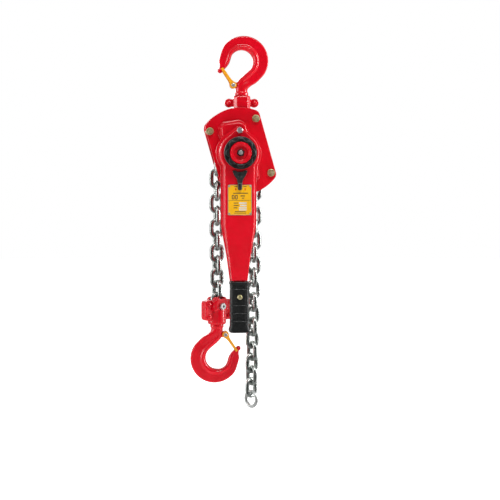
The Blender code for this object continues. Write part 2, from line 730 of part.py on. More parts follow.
def make_brake(parent):
    hub = ((9.4, -37.6), (31.0, -37.6), (31.0, -32.0), (15.0, -32.0), (15.0, -28.5), (9.4, -28.5))
    mesh_object("friction_hub", turned_ring(hub, 24), "dark_steel", parent)
    for name, y0, y1 in (("friction_disc_inner", -40.2, -38.0), ("friction_disc_outer", -49.0, -46.8)):
        mesh_object(name, washer(31.0, 16.0, y0, y1, 24), "lining", parent)
    ratchet = saw_outline(RATCHET_TEETH, RATCHET_ROOT, RATCHET_TIP, RATCHET_PHASE)
    disc = mesh_object("ratchet_disc", prism(ratchet, -46.4, -40.6), "dark_steel", parent)
    boolean(disc, "DIFFERENCE", rod(16.0, -50, -36))
    gear = notch_outline(CHANGE_TEETH, CHANGE_ROOT, CHANGE_TIP, -math.pi / 2)
    change = mesh_object("change_gear", prism(gear, -84.0, -72.0), "dark_steel", parent)
    neck = ((16.0, -96.5), (16.0, -83.0), (21.5, -73.0), (21.5, -55.0), (31.0, -54.6), (31.0, -49.4))
    boolean(change, "UNION", turned(neck, segments=24))
    boolean(change, "DIFFERENCE", rod(9.5, -110, -40))


def pawl_outline(reach, angle):
    """Arm from a boss at the origin to a wedge-shaped tip at the given angle."""
    tip = Vector((reach * math.cos(angle), reach * math.sin(angle)))
    side = Vector((-math.sin(angle), math.cos(angle)))
    boss = arc(0, 0, 7.0, math.degrees(angle) + 60, math.degrees(angle) + 300, 8)
    near = tip * 0.72
    arm = [near - side * 4.5, tip - side * 1.2, tip + side * 1.2, near + side * 4.5]
    return boss + [tuple(point) for point in arm]


def make_brake_pawl(parent):
    outline = pawl_outline(BRAKE_PAWL_REACH, BRAKE_PAWL_ANGLE)
    pawl = mesh_object("brake_pawl", prism(outline, -46.2, -40.8), "dark_steel", parent)
    boolean(pawl, "DIFFERENCE", rod(3.6, -60, -20, segments=14))


def lobed(radius, depth):
    """Circle with a hollow between each two of the wheel's finger lobes."""
    ring = []
    for i in range(40):
        angle = 2 * math.pi * i / 40
        wave = 0.5 + 0.5 * math.cos(WHEEL_LOBES * angle + math.pi)
        hollowed = radius - depth * wave**1.5
        ring.append((hollowed * math.cos(angle), hollowed * math.sin(angle)))
    return ring


def make_hand_wheel(parent):
    """Moulded ring with a round rim and a lobed front, on a red hub with a recess for the nut."""
    y0, y1 = WHEEL_Y
    levels = ((24.3, 0, y0), (30.0, 0, y0), (WHEEL_RADIUS, 0, y0 - 4), (WHEEL_RADIUS, 0, y1 + 8),
              (33.0, 3.5, y1 + 5), (31.5, 3.5, y1 + 1), (25.5, 0, y1 + 0.5), (24.3, 0, y1 + 2))
    grip = loft([at_depth(lobed(radius, depth), y) for radius, depth, y in levels], closed=True)
    mesh_object("hand_wheel_grip", grip, "black_rubber", parent)
    hub = ((7.4, y0 + 8.0), (13.0, y0 + 8.0), (13.0, y0), (23.9, y0), (23.9, y1 + 1.5), (22.6, y1 - 0.5),
           (20.6, y1 - 0.5), (19.0, y1 + 2.2), (14.0, y1 + 3.0), (13.0, y1 + 9.0), (7.4, y1 + 9.0))
    mesh_object("hand_wheel_hub", turned_ring(hub, 24), "red_paint", parent)


def make_wheel_nut(parent):
    """Castle nut on the shaft's end."""
    nut = mesh_object("wheel_nut", prism(hexagon(15.0), *WHEEL_NUT_Y), "dark_steel", parent)
    boolean(nut, "DIFFERENCE", rod(5.4, -130, -110, segments=14))
    for number in range(3):
        slot = box(-12, 12, -130, -121.0, -1.2, 1.2)
        turn = Matrix.Rotation(math.radians(60 * number), 3, "Y")
        bmesh.ops.rotate(slot, cent=(0, 0, 0), matrix=turn, verts=slot.verts)
        boolean(nut, "DIFFERENCE", slot)


# Lever


def lever_outline(depth, lobe=9.6):
    """Outline of the lever, depth millimetres inside its flange, down to the grip."""
    hub = 49.8 - depth
    arm = 39.4 - 0.9 * depth
    knee = 27.0 - 0.45 * depth
    end = 19.5 - 0.3 * depth
    low = -math.degrees(math.acos(arm / hub))
    lobe_side = arc(0, LOBE_HEIGHT, lobe - 0.35 * depth, 90, 35, 3)
    right = lobe_side + arc(0, 0, hub, 70, low, 7)
    straight = [(arm, -60.0), (arm, -160.0), (knee, -226.0), (end, GRIP_TOP - 1.5 + 0.35 * depth)]
    right += rounded(straight, [0, 60, 60, 0], 2)
    left = [(-x, z) for x, z in reversed(right[1:])]
    return [(x, z) for x, z in reversed(right + left)]


def make_lever(parent):
    wall = LEVER_WALL
    seam, front = LEVER_SEAM_Y, LEVER_FRONT_Y
    levels = ((10.5 + wall, front + wall), (4.0 + wall, seam - 3.5), (4.0 + wall, seam), (0.0, seam),
              (0.0, seam - 2.8), (3.6, seam - 3.4), (6.5, front + 5.0), (7.6, front + 1.8), (10.5, front))
    pressing = loft([at_depth(lever_outline(depth), y) for depth, y in levels])
    shell = mesh_object("lever_front", pressing, "red_paint", parent)
    tongue_outline = [(-13.0, -387), (13.0, -387), (13.0, -268), (-13.0, -268)]
    core_outline = [(-10.5, -384.5), (10.5, -384.5), (10.5, -268.5), (-10.5, -268.5)]
    tongue = loft([at_depth(core_outline, -88), at_depth(core_outline, -73.5),
                   at_depth(tongue_outline, -73.5), at_depth(tongue_outline, -90.5)])
    boolean(shell, "UNION", tongue)
    holes = [rod(17.0, front - 3, front + 6, segments=28)]
    holes += [rod(5.5, front - 3, front + 6, 0, -SELECTOR_DROP, 16), rod(4.5, -110, -60, 0, LOBE_HEIGHT, 14)]
    boolean(shell, "DIFFERENCE", merged(holes))
    back = mesh_object("lever_rear", prism(lever_outline(0.0), seam + GAP, LEVER_BACK_Y), "red_paint", parent)
    holes = [rod(24.0, -70, -60, segments=28), rod(4.5, -70, -60, 0, LOBE_HEIGHT, 14)]
    boolean(back, "DIFFERENCE", merged(holes))


def make_lever_bolt(parent):
    """Bolt through the lobe that clamps both halves of the lever."""
    profile = ((4.0, LEVER_FRONT_Y - 2), (4.0, LEVER_BACK_Y + 2.2))
    bolt = mesh_object("lever_bolt", turned(profile, 0, LOBE_HEIGHT, 14), "zinc_steel", parent)
    boolean(bolt, "UNION", prism(hexagon(12.0, 0, LOBE_HEIGHT), LEVER_FRONT_Y - 5.5, LEVER_FRONT_Y - GAP))


def grip_section(half_x, half_y, z, count=20):
    """Ring of the grip, a rectangle with very round corners."""
    ring = []
    for i in range(count):
        angle = 2 * math.pi * (i + 0.5) / count
        x = math.copysign(abs(math.cos(angle)) ** 0.45, math.cos(angle)) * half_x
        y = math.copysign(abs(math.sin(angle)) ** 0.45, math.sin(angle)) * half_y
        ring.append((x, GRIP_CENTRE_Y + y, z))
    return ring


def make_grip(parent):
    """Rubber sleeve with a rim at its top and a flare at its foot, held by a screw."""
    levels = ((15.2, 11.0, -389.0), (15.2, 11.0, GRIP_TOP - 1.9), (21.8, 19.0, GRIP_TOP - 1.9),
              (21.8, 19.0, GRIP_TOP - 7), (20.6, 18.0, GRIP_TOP - 9), (20.6, 18.0, GRIP_BOTTOM + 12),
              (23.0, 18.8, GRIP_BOTTOM + 5), (22.6, 18.6, GRIP_BOTTOM + 2), (19.0, 16.0, GRIP_BOTTOM))
    grip = mesh_object("grip", loft([grip_section(*level) for level in levels]), "black_rubber", parent)
    boolean(grip, "DIFFERENCE", rod(3.0, -110, -88, 0, GRIP_SCREW_Z, 14))
    screw = ((2.4, -92.6), (2.4, -100.4), (5.5, -100.5), (5.5, -102.0), (4.0, -103.2))
    mesh_object("grip_screw", turned(screw, 0, GRIP_SCREW_Z, 16), "zinc_steel", parent)


def make_name_plate(parent):
    outline = rounded([(-26.4, -136), (26.4, -136), (26.4, -69.3), (-26.4, -69.3)], 2.5, 2)
    plate = prism(outline, LEVER_FRONT_Y - 1.3, LEVER_FRONT_Y - GAP)
    mesh_object("name_plate", plate, "yellow_plate", parent)


def make_selector(parent):
    """Change-over lever in front of the housing, and on its spindle the pawl with two tips."""
    wing = [(16.8, 13.0), (9.5, 13.4), (5.0, 8.0), (-5.0, 8.0), (-9.5, 13.4), (-16.8, 13.0), (-13.5, 3.0),
            (-6.5, -5.5), (-4.6, -12.0), (-4.3, -29.9), (4.3, -29.9), (4.6, -12.0), (6.5, -5.5), (13.5, 3.0)]
    radii = [3, 2, 3, 3, 2, 3, 4, 4, 3, 3, 3, 3, 4, 4]
    knob = mesh_object("selector", prism(rounded(wing, radii, 2), -104.9, -100.0), "black_plastic", parent)
    boolean(knob, "UNION", rod(8.0, -107.5, -101.0, segments=20))
    boolean(knob, "UNION", rod(5.0, -102.0, -70.0, segments=16))
    tips = []
    for sign in (1, -1):
        tips.append(pawl_outline(PAWL_ARM, math.radians(90 - sign * PAWL_SPREAD)))
    pawl = mesh_object("selector_pawl", prism(tips[0], -83.0, -73.0), "dark_steel", parent)
    boolean(pawl, "UNION", prism(tips[1], -83.0, -73.0))
    boolean(pawl, "DIFFERENCE", rod(5.35, -90, -60, segments=16))


# Load block


def make_block(parent):
    """Two cast halves round the chain bolt and the hook's shank, riveted through their ears."""
    collar = BLOCK_COLLAR - BLOCK_BOLT
    ears = [z - BLOCK_BOLT for z in BLOCK_RIVETS]
    middle = sum(ears) / 2
    for name, side in (("block_front", -1), ("block_rear", 1)):
        near, far = side * 0.15, side * 9.0
        outline = rounded([(-38, ears[1] - 9), (38, ears[1] - 9), (38, ears[0] + 9), (-38, ears[0] + 9)], 9)
        waist = prism(outline, min(near, far), max(near, far))
        half = mesh_object(name, waist, "red_paint", parent)
        dome = loft([disc_ring(r, y) for r, y in ((21.3, 0.15), (21.3, 13.0), (20.0, 17.0), (16.5, 19.5))])
        if side < 0:
            bmesh.ops.scale(dome, vec=(1, -1, 1), verts=dome.verts)
            bmesh.ops.recalc_face_normals(dome, faces=dome.faces)
        boolean(half, "UNION", dome)
        barrel_levels = ((21.0, middle - 2), (21.0, collar + 5), (19.0, collar + 0.4))
        boolean(half, "UNION", upright(barrel_levels, 20))
        keep = box(-60, 60, min(near, side * 60), max(near, side * 60), -80, 60)
        boolean(half, "INTERSECT", keep)
        head = ((11.5, collar - 4), (11.5, collar + 8.0), (16.0, collar + 8.1), (16.0, collar + 17.7),
                (9.0, collar + 20))
        boolean(half, "DIFFERENCE", upright(head, 18))
        slot_outline = rounded([(-18.5, -17), (18.5, -17), (18.5, 40), (-18.5, 40)], [13, 13, 0, 0], 4)
        boolean(half, "DIFFERENCE", prism(slot_outline, -6.0, 6.0))
        bores = [rod(3.9, -40, 40, sign * BLOCK_EAR_REACH, z, 12) for sign in (-1, 1) for z in ears]
        boolean(half, "DIFFERENCE", merged([rod(5.9, -40, 40, segments=18)] + bores))
        boolean(half, "DIFFERENCE", box(-8, 8, -19, 19, 14, 40))
    number = 0
    for z in ears:
        for sign in (-1, 1):
            number += 1
            make_rivet(f"block_rivet_{number}", sign * BLOCK_EAR_REACH, z, 9.4, parent)
    bolt = mesh_object("chain_bolt", turned(((5.5, -20.5), (5.5, 23.0)), segments=18), "zinc_steel", parent)
    boolean(bolt, "UNION", prism(hexagon(13.5), -25.5, -19.9))
    boolean(bolt, "UNION", prism(hexagon(13.5), 19.9, 23.5))
    boolean(bolt, "DIFFERENCE", rod(3.4, -30, -22, segments=6))


def disc_ring(radius, y, segments=20):
    return at_depth(disc_outline(radius, segments), y)


def make_stop_ring(parent):
    """Round ring in the slack chain's last link, too big for the frame to swallow."""
    rings = []
    for i in range(20):
        turn = 2 * math.pi * i / 20
        ring = []
        for k in range(8):
            around = 2 * math.pi * k / 8
            out = STOP_RING_RADIUS + STOP_RING_WIRE * math.cos(around)
            ring.append((out * math.cos(turn), STOP_RING_WIRE * math.sin(around), out * math.sin(turn)))
        rings.append(ring)
    ring = loft(rings, closed=True)
    across = Matrix.Rotation(math.radians(SLACK_TWIST + 90), 3, "Z")
    bmesh.ops.rotate(ring, cent=(0, 0, 0), matrix=across, verts=ring.verts)
    inside_link = PITCH * SLACK_LINKS + LINK_HALF_LENGTH - WIRE / 2 - 0.15
    drop = -inside_link + STOP_RING_WIRE + GAP - STOP_RING_RADIUS
    mesh_object("chain_stop_ring", moved(ring, -SLACK_LEAN, 0, drop), "zinc_steel", parent)


def make_hoist():
    seat = axis_empty("hook_seat", 0, 0)
    hook = axis_empty("top_hook_axis", 0, -HOOK_SEAT, seat)
    make_hook("top_hook", hook)
    latch = axis_empty("top_latch_axis", *LATCH_PIVOT, hook)
    make_latch("top_latch", latch)
    make_latch_pin("top_latch_pin", latch)
    make_latch_spring("top_latch_spring", latch)
    make_yoke(axis_empty("top_yoke_axis", 0, -HOOK_SEAT, seat))
    pin = axis_empty("yoke_pin_axis", 0, YOKE_PIN_HEIGHT + SHAFT_Z, seat)
    mesh_object("top_hook_pin", rod(HOOK_PIN_RADIUS, *HOOK_PIN_Y), "zinc_steel", pin)
    frame = axis_empty("shaft_axis", SHAFT_X, SHAFT_Z, seat)
    make_frame(frame)
    make_sheave(axis_empty("sheave_axis", 0, 0, frame))
    make_second_gears([axis_empty(f"second_gear_{n}_axis", x, z, frame)
                       for n, (x, z) in enumerate(second_gear_places(), 1)])
    shaft = axis_empty("hand_wheel_axis", 0, 0, frame)
    make_shaft(shaft)
    make_brake(shaft)
    make_hand_wheel(shaft)
    make_wheel_nut(shaft)
    make_brake_pawl(axis_empty("brake_pawl_axis", *BRAKE_PAWL_PIVOT, frame))
    lever = axis_empty("lever_axis", 0, 0, frame)
    make_lever(lever)
    make_lever_bolt(lever)
    make_grip(lever)
    make_name_plate(lever)
    make_selector(axis_empty("selector_axis", 0, -SELECTOR_DROP, lever))
    load = axis_empty("load_chain_axis", -CHAIN_RADIUS, 0, frame)
    make_chain("load_chain", hanging_places(LOAD_LINKS, True, BLOCK_YAW, 0.0), load)
    block = axis_empty("block_axis", 0, BLOCK_BOLT, load, yaw=BLOCK_YAW)
    make_block(block)
    load_hook = axis_empty("load_hook_axis", 0, BLOCK_COLLAR, load)
    load_hook.rotation_euler.y = math.pi
    make_hook("load_hook", load_hook)
    load_latch = axis_empty("load_latch_axis", *LATCH_PIVOT, load_hook)
    make_latch("load_latch", load_latch)
    make_latch_pin("load_latch_pin", load_latch)
    make_latch_spring("load_latch_spring", load_latch)
    slack = axis_empty("slack_chain_axis", CHAIN_RADIUS, 0, frame)
    make_chain("slack_chain", hanging_places(SLACK_LINKS, False, SLACK_TWIST, SLACK_LEAN), slack)
    make_stop_ring(slack)


clear_scene()
MATERIALS = {name: make_material(name) for name in COLOURS}
make_hoist()
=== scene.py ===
"""Looks of the lever chain hoist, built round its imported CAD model.

Shapes are drawn in millimetres in the place that Places gives them: from the pinion shaft's axis, or from
a hook's own collar. piece() turns them into metres in the frame of the CAD model. X is to the right, Y to
the rear, Z up.
"""

import math
from math import cos, pi, radians, sin

import bmesh
import bpy
from mathutils import Matrix, Vector


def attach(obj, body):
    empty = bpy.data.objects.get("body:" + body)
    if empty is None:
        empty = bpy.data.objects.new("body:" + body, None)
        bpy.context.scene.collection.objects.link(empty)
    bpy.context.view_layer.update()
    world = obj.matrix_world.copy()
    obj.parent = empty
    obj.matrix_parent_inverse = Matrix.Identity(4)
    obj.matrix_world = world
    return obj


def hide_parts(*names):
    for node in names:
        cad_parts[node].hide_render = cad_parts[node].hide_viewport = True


MM = 0.001
FULL = 2 * pi

# Camera: where it looks, in millimetres, and from what side
VIEW_CENTRE = (19.3, 0.0, -449.0)
VIEW_AZIMUTH = -5.74
VIEW_ELEVATION = 3.37
VIEW_DISTANCE = 3000.0
VIEW_LENS = 95.3
FLOOR_LEVEL = -1.05  # metres

# Axes and levels of the CAD model, in millimetres
HOOK_SEAT = 101.2
SHAFT = (-13.0, 0.0, -230.9)
CHAIN_RADIUS = 43.09
PITCH = 28.0
BLOCK_BOLT = -343.9
BLOCK_COLLAR = -386.0
BLOCK_YAW = 33.0
BLOCK_EAR_X = 27.7
BLOCK_EAR_LEVELS = (-339.0, -367.0)
LOAD_LINKS = 12
SLACK_LINKS = 19
SLACK_TWIST = 38.0
SLACK_LEAN = 8.0
TWIST_EASE = 1.5
POCKET_ANGLE = 36
STOP_RING_RADIUS = 17.0
STOP_RING_WIRE = 4.2
STOP_RING_DROP = 13.75 - STOP_RING_WIRE - 0.35 + STOP_RING_RADIUS
LATCH_PIVOT = (-19.0, 23.5)
LATCH_TIP = (-45.0, 61.5)
SELECTOR_DROP = 51.6
COLLAR_OVER_SHAFT = 129.7
YOKE_PIN_HEIGHT = 78.0
YOKE_EAR_HEIGHT = 113.0
YOKE_EAR_REACH = 28.5
PLATE_TILT = radians(15.7)
PLATE_TURN = Matrix.Rotation(PLATE_TILT, 2)
PLATE_CENTRE = (9.0, 4.9)
PLATE_RADIUS = 97.5
PLATE_HALF_WIDTH = 63.3
PLATE_INNER, PLATE_OUTER = 23.0, 27.0
STAY_CENTRE = (8.3, 2.7)
STAY_HALF_WIDTH = 53.5
STAY_HALF_HEIGHT = 62.9
STAY_WIDTH_OVER_FLATS = 14.5
GEAR_REACH = 40.0
LEVER_FRONT = -98.0
LEVER_SEAM = -67.3
LEVER_BACK = -64.3
LOBE_HEIGHT = 49.2
WHEEL_BACK, WHEEL_FRONT = -105.4, -126.5
GRIP_TOP, GRIP_BOTTOM = -281.0, -395.0
GRIP_CENTRE_Y = -82.0
GRIP_SCREW_Z = -316.0
HOOK_PIN_BORE = 7.4
RIVET_BORE = 3.9


# Mesh kit


def loft(rings, closed=False):
    """Surface through rings of equally many points, capped at both ends or closed into a ring."""
    bm = bmesh.new()
    loops = [[bm.verts.new(point) for point in ring] for ring in rings]
    following = loops[1:] + loops[:1] if closed else loops[1:]
    for first, second in zip(loops, following):
        for i, point in enumerate(first):
            j = (i + 1) % len(first)
            bm.faces.new((point, first[j], second[j], second[i]))
    if not closed:
        bm.faces.new(loops[0])
        bm.faces.new(loops[-1])
    bmesh.ops.recalc_face_normals(bm, faces=bm.faces)
    return bm


def at_depth(outline, y):
    return [(x, y, z) for x, z in outline]


def circle(radius, segments=64, x=0.0, z=0.0):
    return [(x + radius * cos(FULL * i / segments), z + radius * sin(FULL * i / segments))
        for i in range(segments)]


def rectangle(x0, x1, z0, z1):
    return [(x0, z0), (x1, z0), (x1, z1), (x0, z1)]


def arc(x, z, radius, start, end, steps):
    """Points of an arc, its angles in degrees."""
    angles = [radians(start + (end - start) * i / steps) for i in range(steps + 1)]
    return [(x + radius * cos(a), z + radius * sin(a)) for a in angles]


def bend(start, corner, end, steps):
    """Points along a curve that leaves start towards corner and comes into end from it."""
    a, b, c = Vector(start), Vector(corner), Vector(end)
    return [tuple(a * (1 - t) ** 2 + b * 2 * t * (1 - t) + c * t**2)
        for t in (i / steps for i in range(steps + 1))]


def around(points, i):
    """The point before a corner, the corner itself and the point after it."""
    return [Vector(points[(i + step) % len(points)]) for step in (-1, 0, 1)]


def rounded(points, radii, steps=6, closed=True):
    """Polyline with its corners rounded, radii being one radius or one for each corner."""
    result = []
    for i, here in enumerate(points):
        radius = radii[i] if isinstance(radii, (list, tuple)) else radii
        at_end = not closed and i in (0, len(points) - 1)
        if radius <= 0 or at_end:
            result.append(tuple(here))
            continue
        before, corner, after = around(points, i)
        back, on = before - corner, after - corner
        half = back.angle(on) / 2
        reach = max(0.02, min(radius / max(math.tan(half), 1e-6), 0.48 * back.length, 0.48 * on.length))
        result += bend(corner + back.normalized() * reach, corner, corner + on.normalized() * reach, steps)
    return result


def blended(points, corners, radius, steps):
    """Closed outline with the points near each named corner replaced by one smooth bend."""
    result = []
    for i, here in enumerate(points):
        close = [corner for corner in corners if math.dist(here, corner) < radius]
        if not close:
            result.append(here)
        elif here == close[0]:
            before, corner, after = around(points, i)
            back, on = (before - corner).normalized() * radius, (after - corner).normalized() * radius
            result += bend(corner + back, corner, corner + on, steps)
    return result


def inset(points, distance):
    """Polygon with each side moved inwards; points run anticlockwise."""
    moved_in = []
    for i, here in enumerate(points):
        before, corner, after = around(points, i)
        before, after = (corner - before).normalized(), (after - corner).normalized()
        normal = Vector((-before.y, before.x)) + Vector((-after.y, after.x))
        shift = normal * distance * 2 / max(normal.length_squared, 1.0)
        moved_in.append((here[0] + shift.x, here[1] + shift.y))
    return moved_in


def soft_prism(outline, y0, y1, edge=0.8, steps=3):
    """Prism along Y with both its rims rounded."""
    turns = [pi / 2 * i / steps for i in range(steps + 1)]
    rims = [(inset(outline, edge * (1 - sin(a))), edge * (1 - cos(a))) for a in turns]
    rings = [at_depth(rim, min(y0, y1) + depth) for rim, depth in rims]
    rings += [at_depth(rim, max(y0, y1) - depth) for rim, depth in reversed(rims)]
    return loft(rings)


def slab(outline, y0, y1):
    """Prism along Y with sharp rims."""
    return loft([at_depth(outline, y0), at_depth(outline, y1)])


def turned(profile, x=0.0, z=0.0, segments=64):
    """Body of revolution about Y from (radius, y) corners, capped flat at its first and last radius."""
    return loft([at_depth(circle(r, segments, x, z), y) for r, y in profile])


def turned_ring(profile, x=0.0, z=0.0, segments=96):
    """Hollow body of revolution about Y from a closed profile of (radius, y) corners."""
    return loft([at_depth(circle(r, segments, x, z), y) for r, y in profile], closed=True)


def two_headed(head, x=0.0, z=0.0):
    """Rivet or pin with the same head, as (radius, y) corners, at both its ends."""
    return turned([(r, -y) for r, y in head] + [(r, y) for r, y in reversed(head)], x, z, 40)


def upright(profile, segments=64):
    """Body of revolution about Z from (radius, z) corners."""
    return loft([[(x, y, z) for x, y in circle(r, segments)] for r, z in profile])


def bore(radius, x=0.0, z=0.0, reach=40.0, segments=64):
    """Cutter for a straight hole that reaches equally far to the front and to the rear."""
    return turned([(radius, -reach), (radius, reach)], x, z, segments)


def drill(radius, y0, y1, x=0.0, z=0.0, flare=0.6, segments=48):
    """Cutter for a hole between two faces, flared so that it leaves a small chamfer at each."""
    low, high = min(y0, y1), max(y0, y1)
    wide = radius + flare
    return turned([(wide + 1, low - 1), (radius, low + flare), (radius, high - flare),
        (wide + 1, high + 1)], x, z, segments)


def tube(path, radius, sides=12, closed=False):
    """Round wire along points; radius is one number or one for each point."""
    rings = []
    normal = None
    count = len(path)
    for i, point in enumerate(path):
        before = Vector(path[i - 1] if i or closed else point)
        after = Vector(path[(i + 1) % count] if i < count - 1 or closed else point)
        along = (after - before).normalized()
        if normal is None:
            normal = along.orthogonal().normalized()
        normal = (normal - along * normal.dot(along)).normalized()
        across = along.cross(normal)
        r = radius[i] if isinstance(radius, (list, tuple)) else radius
        rings.append([tuple(Vector(point) + (normal * cos(a) + across * sin(a)) * r)
            for a in (FULL * k / sides for k in range(sides))])
    return loft(rings, closed)


def ball(radius, centre):
    bm = bmesh.new()
    bmesh.ops.create_uvsphere(bm, u_segments=32, v_segments=20, radius=radius)
    bmesh.ops.translate(bm, vec=centre, verts=bm.verts)
    return bm


def turned_about(bm, axis, degrees, centre=(0, 0, 0)):
    bmesh.ops.rotate(bm, cent=centre, matrix=Matrix.Rotation(radians(degrees), 3, axis), verts=bm.verts)
    return bm


def moved(bm, x=0.0, y=0.0, z=0.0):
    bmesh.ops.translate(bm, vec=(x, y, z), verts=bm.verts)
    return bm


def mesh_of(name, bm):
    """Mesh data from a bmesh, which goes."""
    mesh = bpy.data.meshes.new(name)
    bm.to_mesh(mesh)
    bm.free()
    return mesh


def linked(name, data):
    """New object in the scene."""
    made = bpy.data.objects.new(name, data)
    bpy.context.scene.collection.objects.link(made)
    return made


def discard(work):
    """Removes an object and its mesh."""
    mesh = work.data
    bpy.data.objects.remove(work)
    bpy.data.meshes.remove(mesh)


def merged(*meshes):
    """One bmesh that holds several bodies."""
    whole = bmesh.new()
    for part in meshes:
        spare = mesh_of("spare", part)
        whole.from_mesh(spare)
        bpy.data.meshes.remove(spare)
    return whole


def work_object(bm):
    bmesh.ops.recalc_face_normals(bm, faces=bm.faces)
    return linked("work", mesh_of("work", bm))


def evaluated(work):
    """The bmesh of a work object with its modifiers applied; the object goes."""
    result = bmesh.new()
    result.from_object(work, bpy.context.evaluated_depsgraph_get())
    discard(work)
    return result


def combine(body, operation, *tools):
    """Boolean of one bmesh with others."""
    work = work_object(body)
    helpers = [work_object(tool) for tool in tools]
    for helper in helpers:
        modifier = work.modifiers.new("combine", "BOOLEAN")
        modifier.operation = operation
        modifier.solver = "EXACT"
        modifier.object = helper
    result = evaluated(work)
    for helper in helpers:
        discard(helper)
    return result


def join(body, *tools):
    return combine(body, "UNION", *tools)


def cut(body, *tools):
    return combine(body, "DIFFERENCE", *tools)


def cast(bm, voxel, rounds):
    """Remeshes a joined body and softens its inner and outer corners, as forging and casting leave them."""
    work = work_object(bm)
    remesh = work.modifiers.new("remesh", "REMESH")
    remesh.mode = "VOXEL"
    remesh.voxel_size = voxel
    soften = work.modifiers.new("soften", "SMOOTH")
    soften.factor = 0.5
    soften.iterations = rounds
    return evaluated(work)


# Materials


def settings(node, values):
    for name, value in values.items():
        node.inputs[name].default_value = value


def noise(nodes, links, scale, detail):
    """Noise over the piece's own coordinates; scale is in features per metre."""
    where = nodes.new("ShaderNodeTexCoord")
    texture = nodes.new("ShaderNodeTexNoise")
    settings(texture, {"Scale": scale, "Detail": detail})
    links.new(where.outputs["Object"], texture.inputs["Vector"])
    return texture.outputs["Fac"]


def ramp(nodes, links, value, stops):
    """Colours along a value, as (position, colour) pairs."""
    made = nodes.new("ShaderNodeValToRGB")
    elements = made.color_ramp.elements
    while len(elements) < len(stops):
        elements.new(0.5)
    for element, (position, colour) in zip(elements, stops):
        element.position = position
        element.color = (*colour, 1)
    links.new(value, made.inputs["Fac"])
    return made.outputs["Color"]


def spread(nodes, links, value, low, high):
    """A noise value mapped to a range of numbers."""
    made = nodes.new("ShaderNodeMapRange")
    settings(made, {"From Min": 0.3, "From Max": 0.7, "To Min": low, "To Max": high})
    links.new(value, made.inputs["Value"])
    return made.outputs["Result"]


def finish_material(name, stops, colour_scale, roughness, bumps, metallic=0.0, coat=0.0,
        coat_roughness=0.1):
    """Principled material with noise in all it shows; bumps are (scale, depth in mm) pairs."""
    material = bpy.data.materials.new(name)
    material.use_nodes = True
    nodes, links = material.node_tree.nodes, material.node_tree.links
    shader = nodes["Principled BSDF"]
    settings(shader, {"Metallic": metallic, "Coat Weight": coat, "Coat Roughness": coat_roughness})
    colour = noise(nodes, links, colour_scale, 5.0)
    links.new(ramp(nodes, links, colour, stops), shader.inputs["Base Color"])
    gloss = noise(nodes, links, colour_scale * 2.3, 3.0)
    links.new(spread(nodes, links, gloss, *roughness), shader.inputs["Roughness"])
    normal = None
    for scale, distance in bumps:
        bump = nodes.new("ShaderNodeBump")
        bump.inputs["Distance"].default_value = distance * MM
        links.new(noise(nodes, links, scale, 3.0), bump.inputs["Height"])
        if normal:
            links.new(normal, bump.inputs["Normal"])
        normal = bump.outputs["Normal"]
    links.new(normal, shader.inputs["Normal"])
    return material


# Colour stops, their scale, roughness, bumps, metallic, coat weight and coat roughness of every finish
FINISHES = {
    "red_paint": (((0.3, (0.57, 0.0, 0.008)), (0.55, (0.62, 0.0, 0.01)), (0.75, (0.66, 0.0, 0.013))),
        45, (0.2, 0.26), ((900, 0.003), (60, 0.012)), 0, 0.3, 0.06),
    "black_rubber": (((0.3, (0.005, 0.006, 0.006)), (0.7, (0.013, 0.014, 0.014))),
        160, (0.34, 0.46), ((2200, 0.008), (300, 0.01))),
    "black_plastic": (((0.3, (0.016, 0.018, 0.018)), (0.7, (0.035, 0.038, 0.037))),
        140, (0.32, 0.44), ((1500, 0.01), (260, 0.012))),
    "zinc_chain": (((0.3, (0.4, 0.43, 0.41)), (0.5, (0.52, 0.55, 0.53)), (0.7, (0.62, 0.64, 0.62))),
        70, (0.24, 0.36), ((900, 0.006), (120, 0.03)), 1.0),
    "zinc_steel": (((0.3, (0.45, 0.46, 0.45)), (0.55, (0.62, 0.63, 0.62)), (0.75, (0.76, 0.77, 0.77))),
        120, (0.3, 0.42), ((1200, 0.006),), 0.75),
    "yellow_zinc": (((0.3, (0.33, 0.33, 0.12)), (0.48, (0.62, 0.55, 0.27)), (0.6, (0.74, 0.66, 0.42)),
        (0.75, (0.56, 0.52, 0.36))), 150, (0.28, 0.42), ((1100, 0.008),), 0.7),
    "dark_steel": (((0.3, (0.045, 0.045, 0.048)), (0.7, (0.11, 0.11, 0.115))),
        110, (0.32, 0.5), ((900, 0.03),), 1.0),
    "amber_steel": (((0.3, (0.7, 0.28, 0.002)), (0.55, (0.8, 0.34, 0.004)), (0.75, (0.84, 0.4, 0.01))),
        130, (0.3, 0.45), ((800, 0.02),), 0, 0.3),
    "lining": (((0.35, (0.09, 0.05, 0.03)), (0.65, (0.22, 0.14, 0.08))), 500, (0.7, 0.9), ((1500, 0.08),)),
    "yellow_plate": (((0.3, (0.74, 0.37, 0.0)), (0.7, (0.8, 0.42, 0.003))),
        40, (0.25, 0.35), ((300, 0.01),), 0, 0.3),
    "print_black": (((0.3, (0.02, 0.02, 0.02)), (0.7, (0.05, 0.045, 0.04))), 400, (0.4, 0.5), ((900, 0.01),)),
    "print_white": (((0.3, (0.55, 0.53, 0.46)), (0.7, (0.64, 0.62, 0.56))),
        200, (0.35, 0.45), ((500, 0.01),)),
    "floor": (((0.3, (0.86, 0.86, 0.86)), (0.7, (0.88, 0.88, 0.88))), 3, (0.8, 0.9), ((20, 0.2),)),
}


# Places and pieces


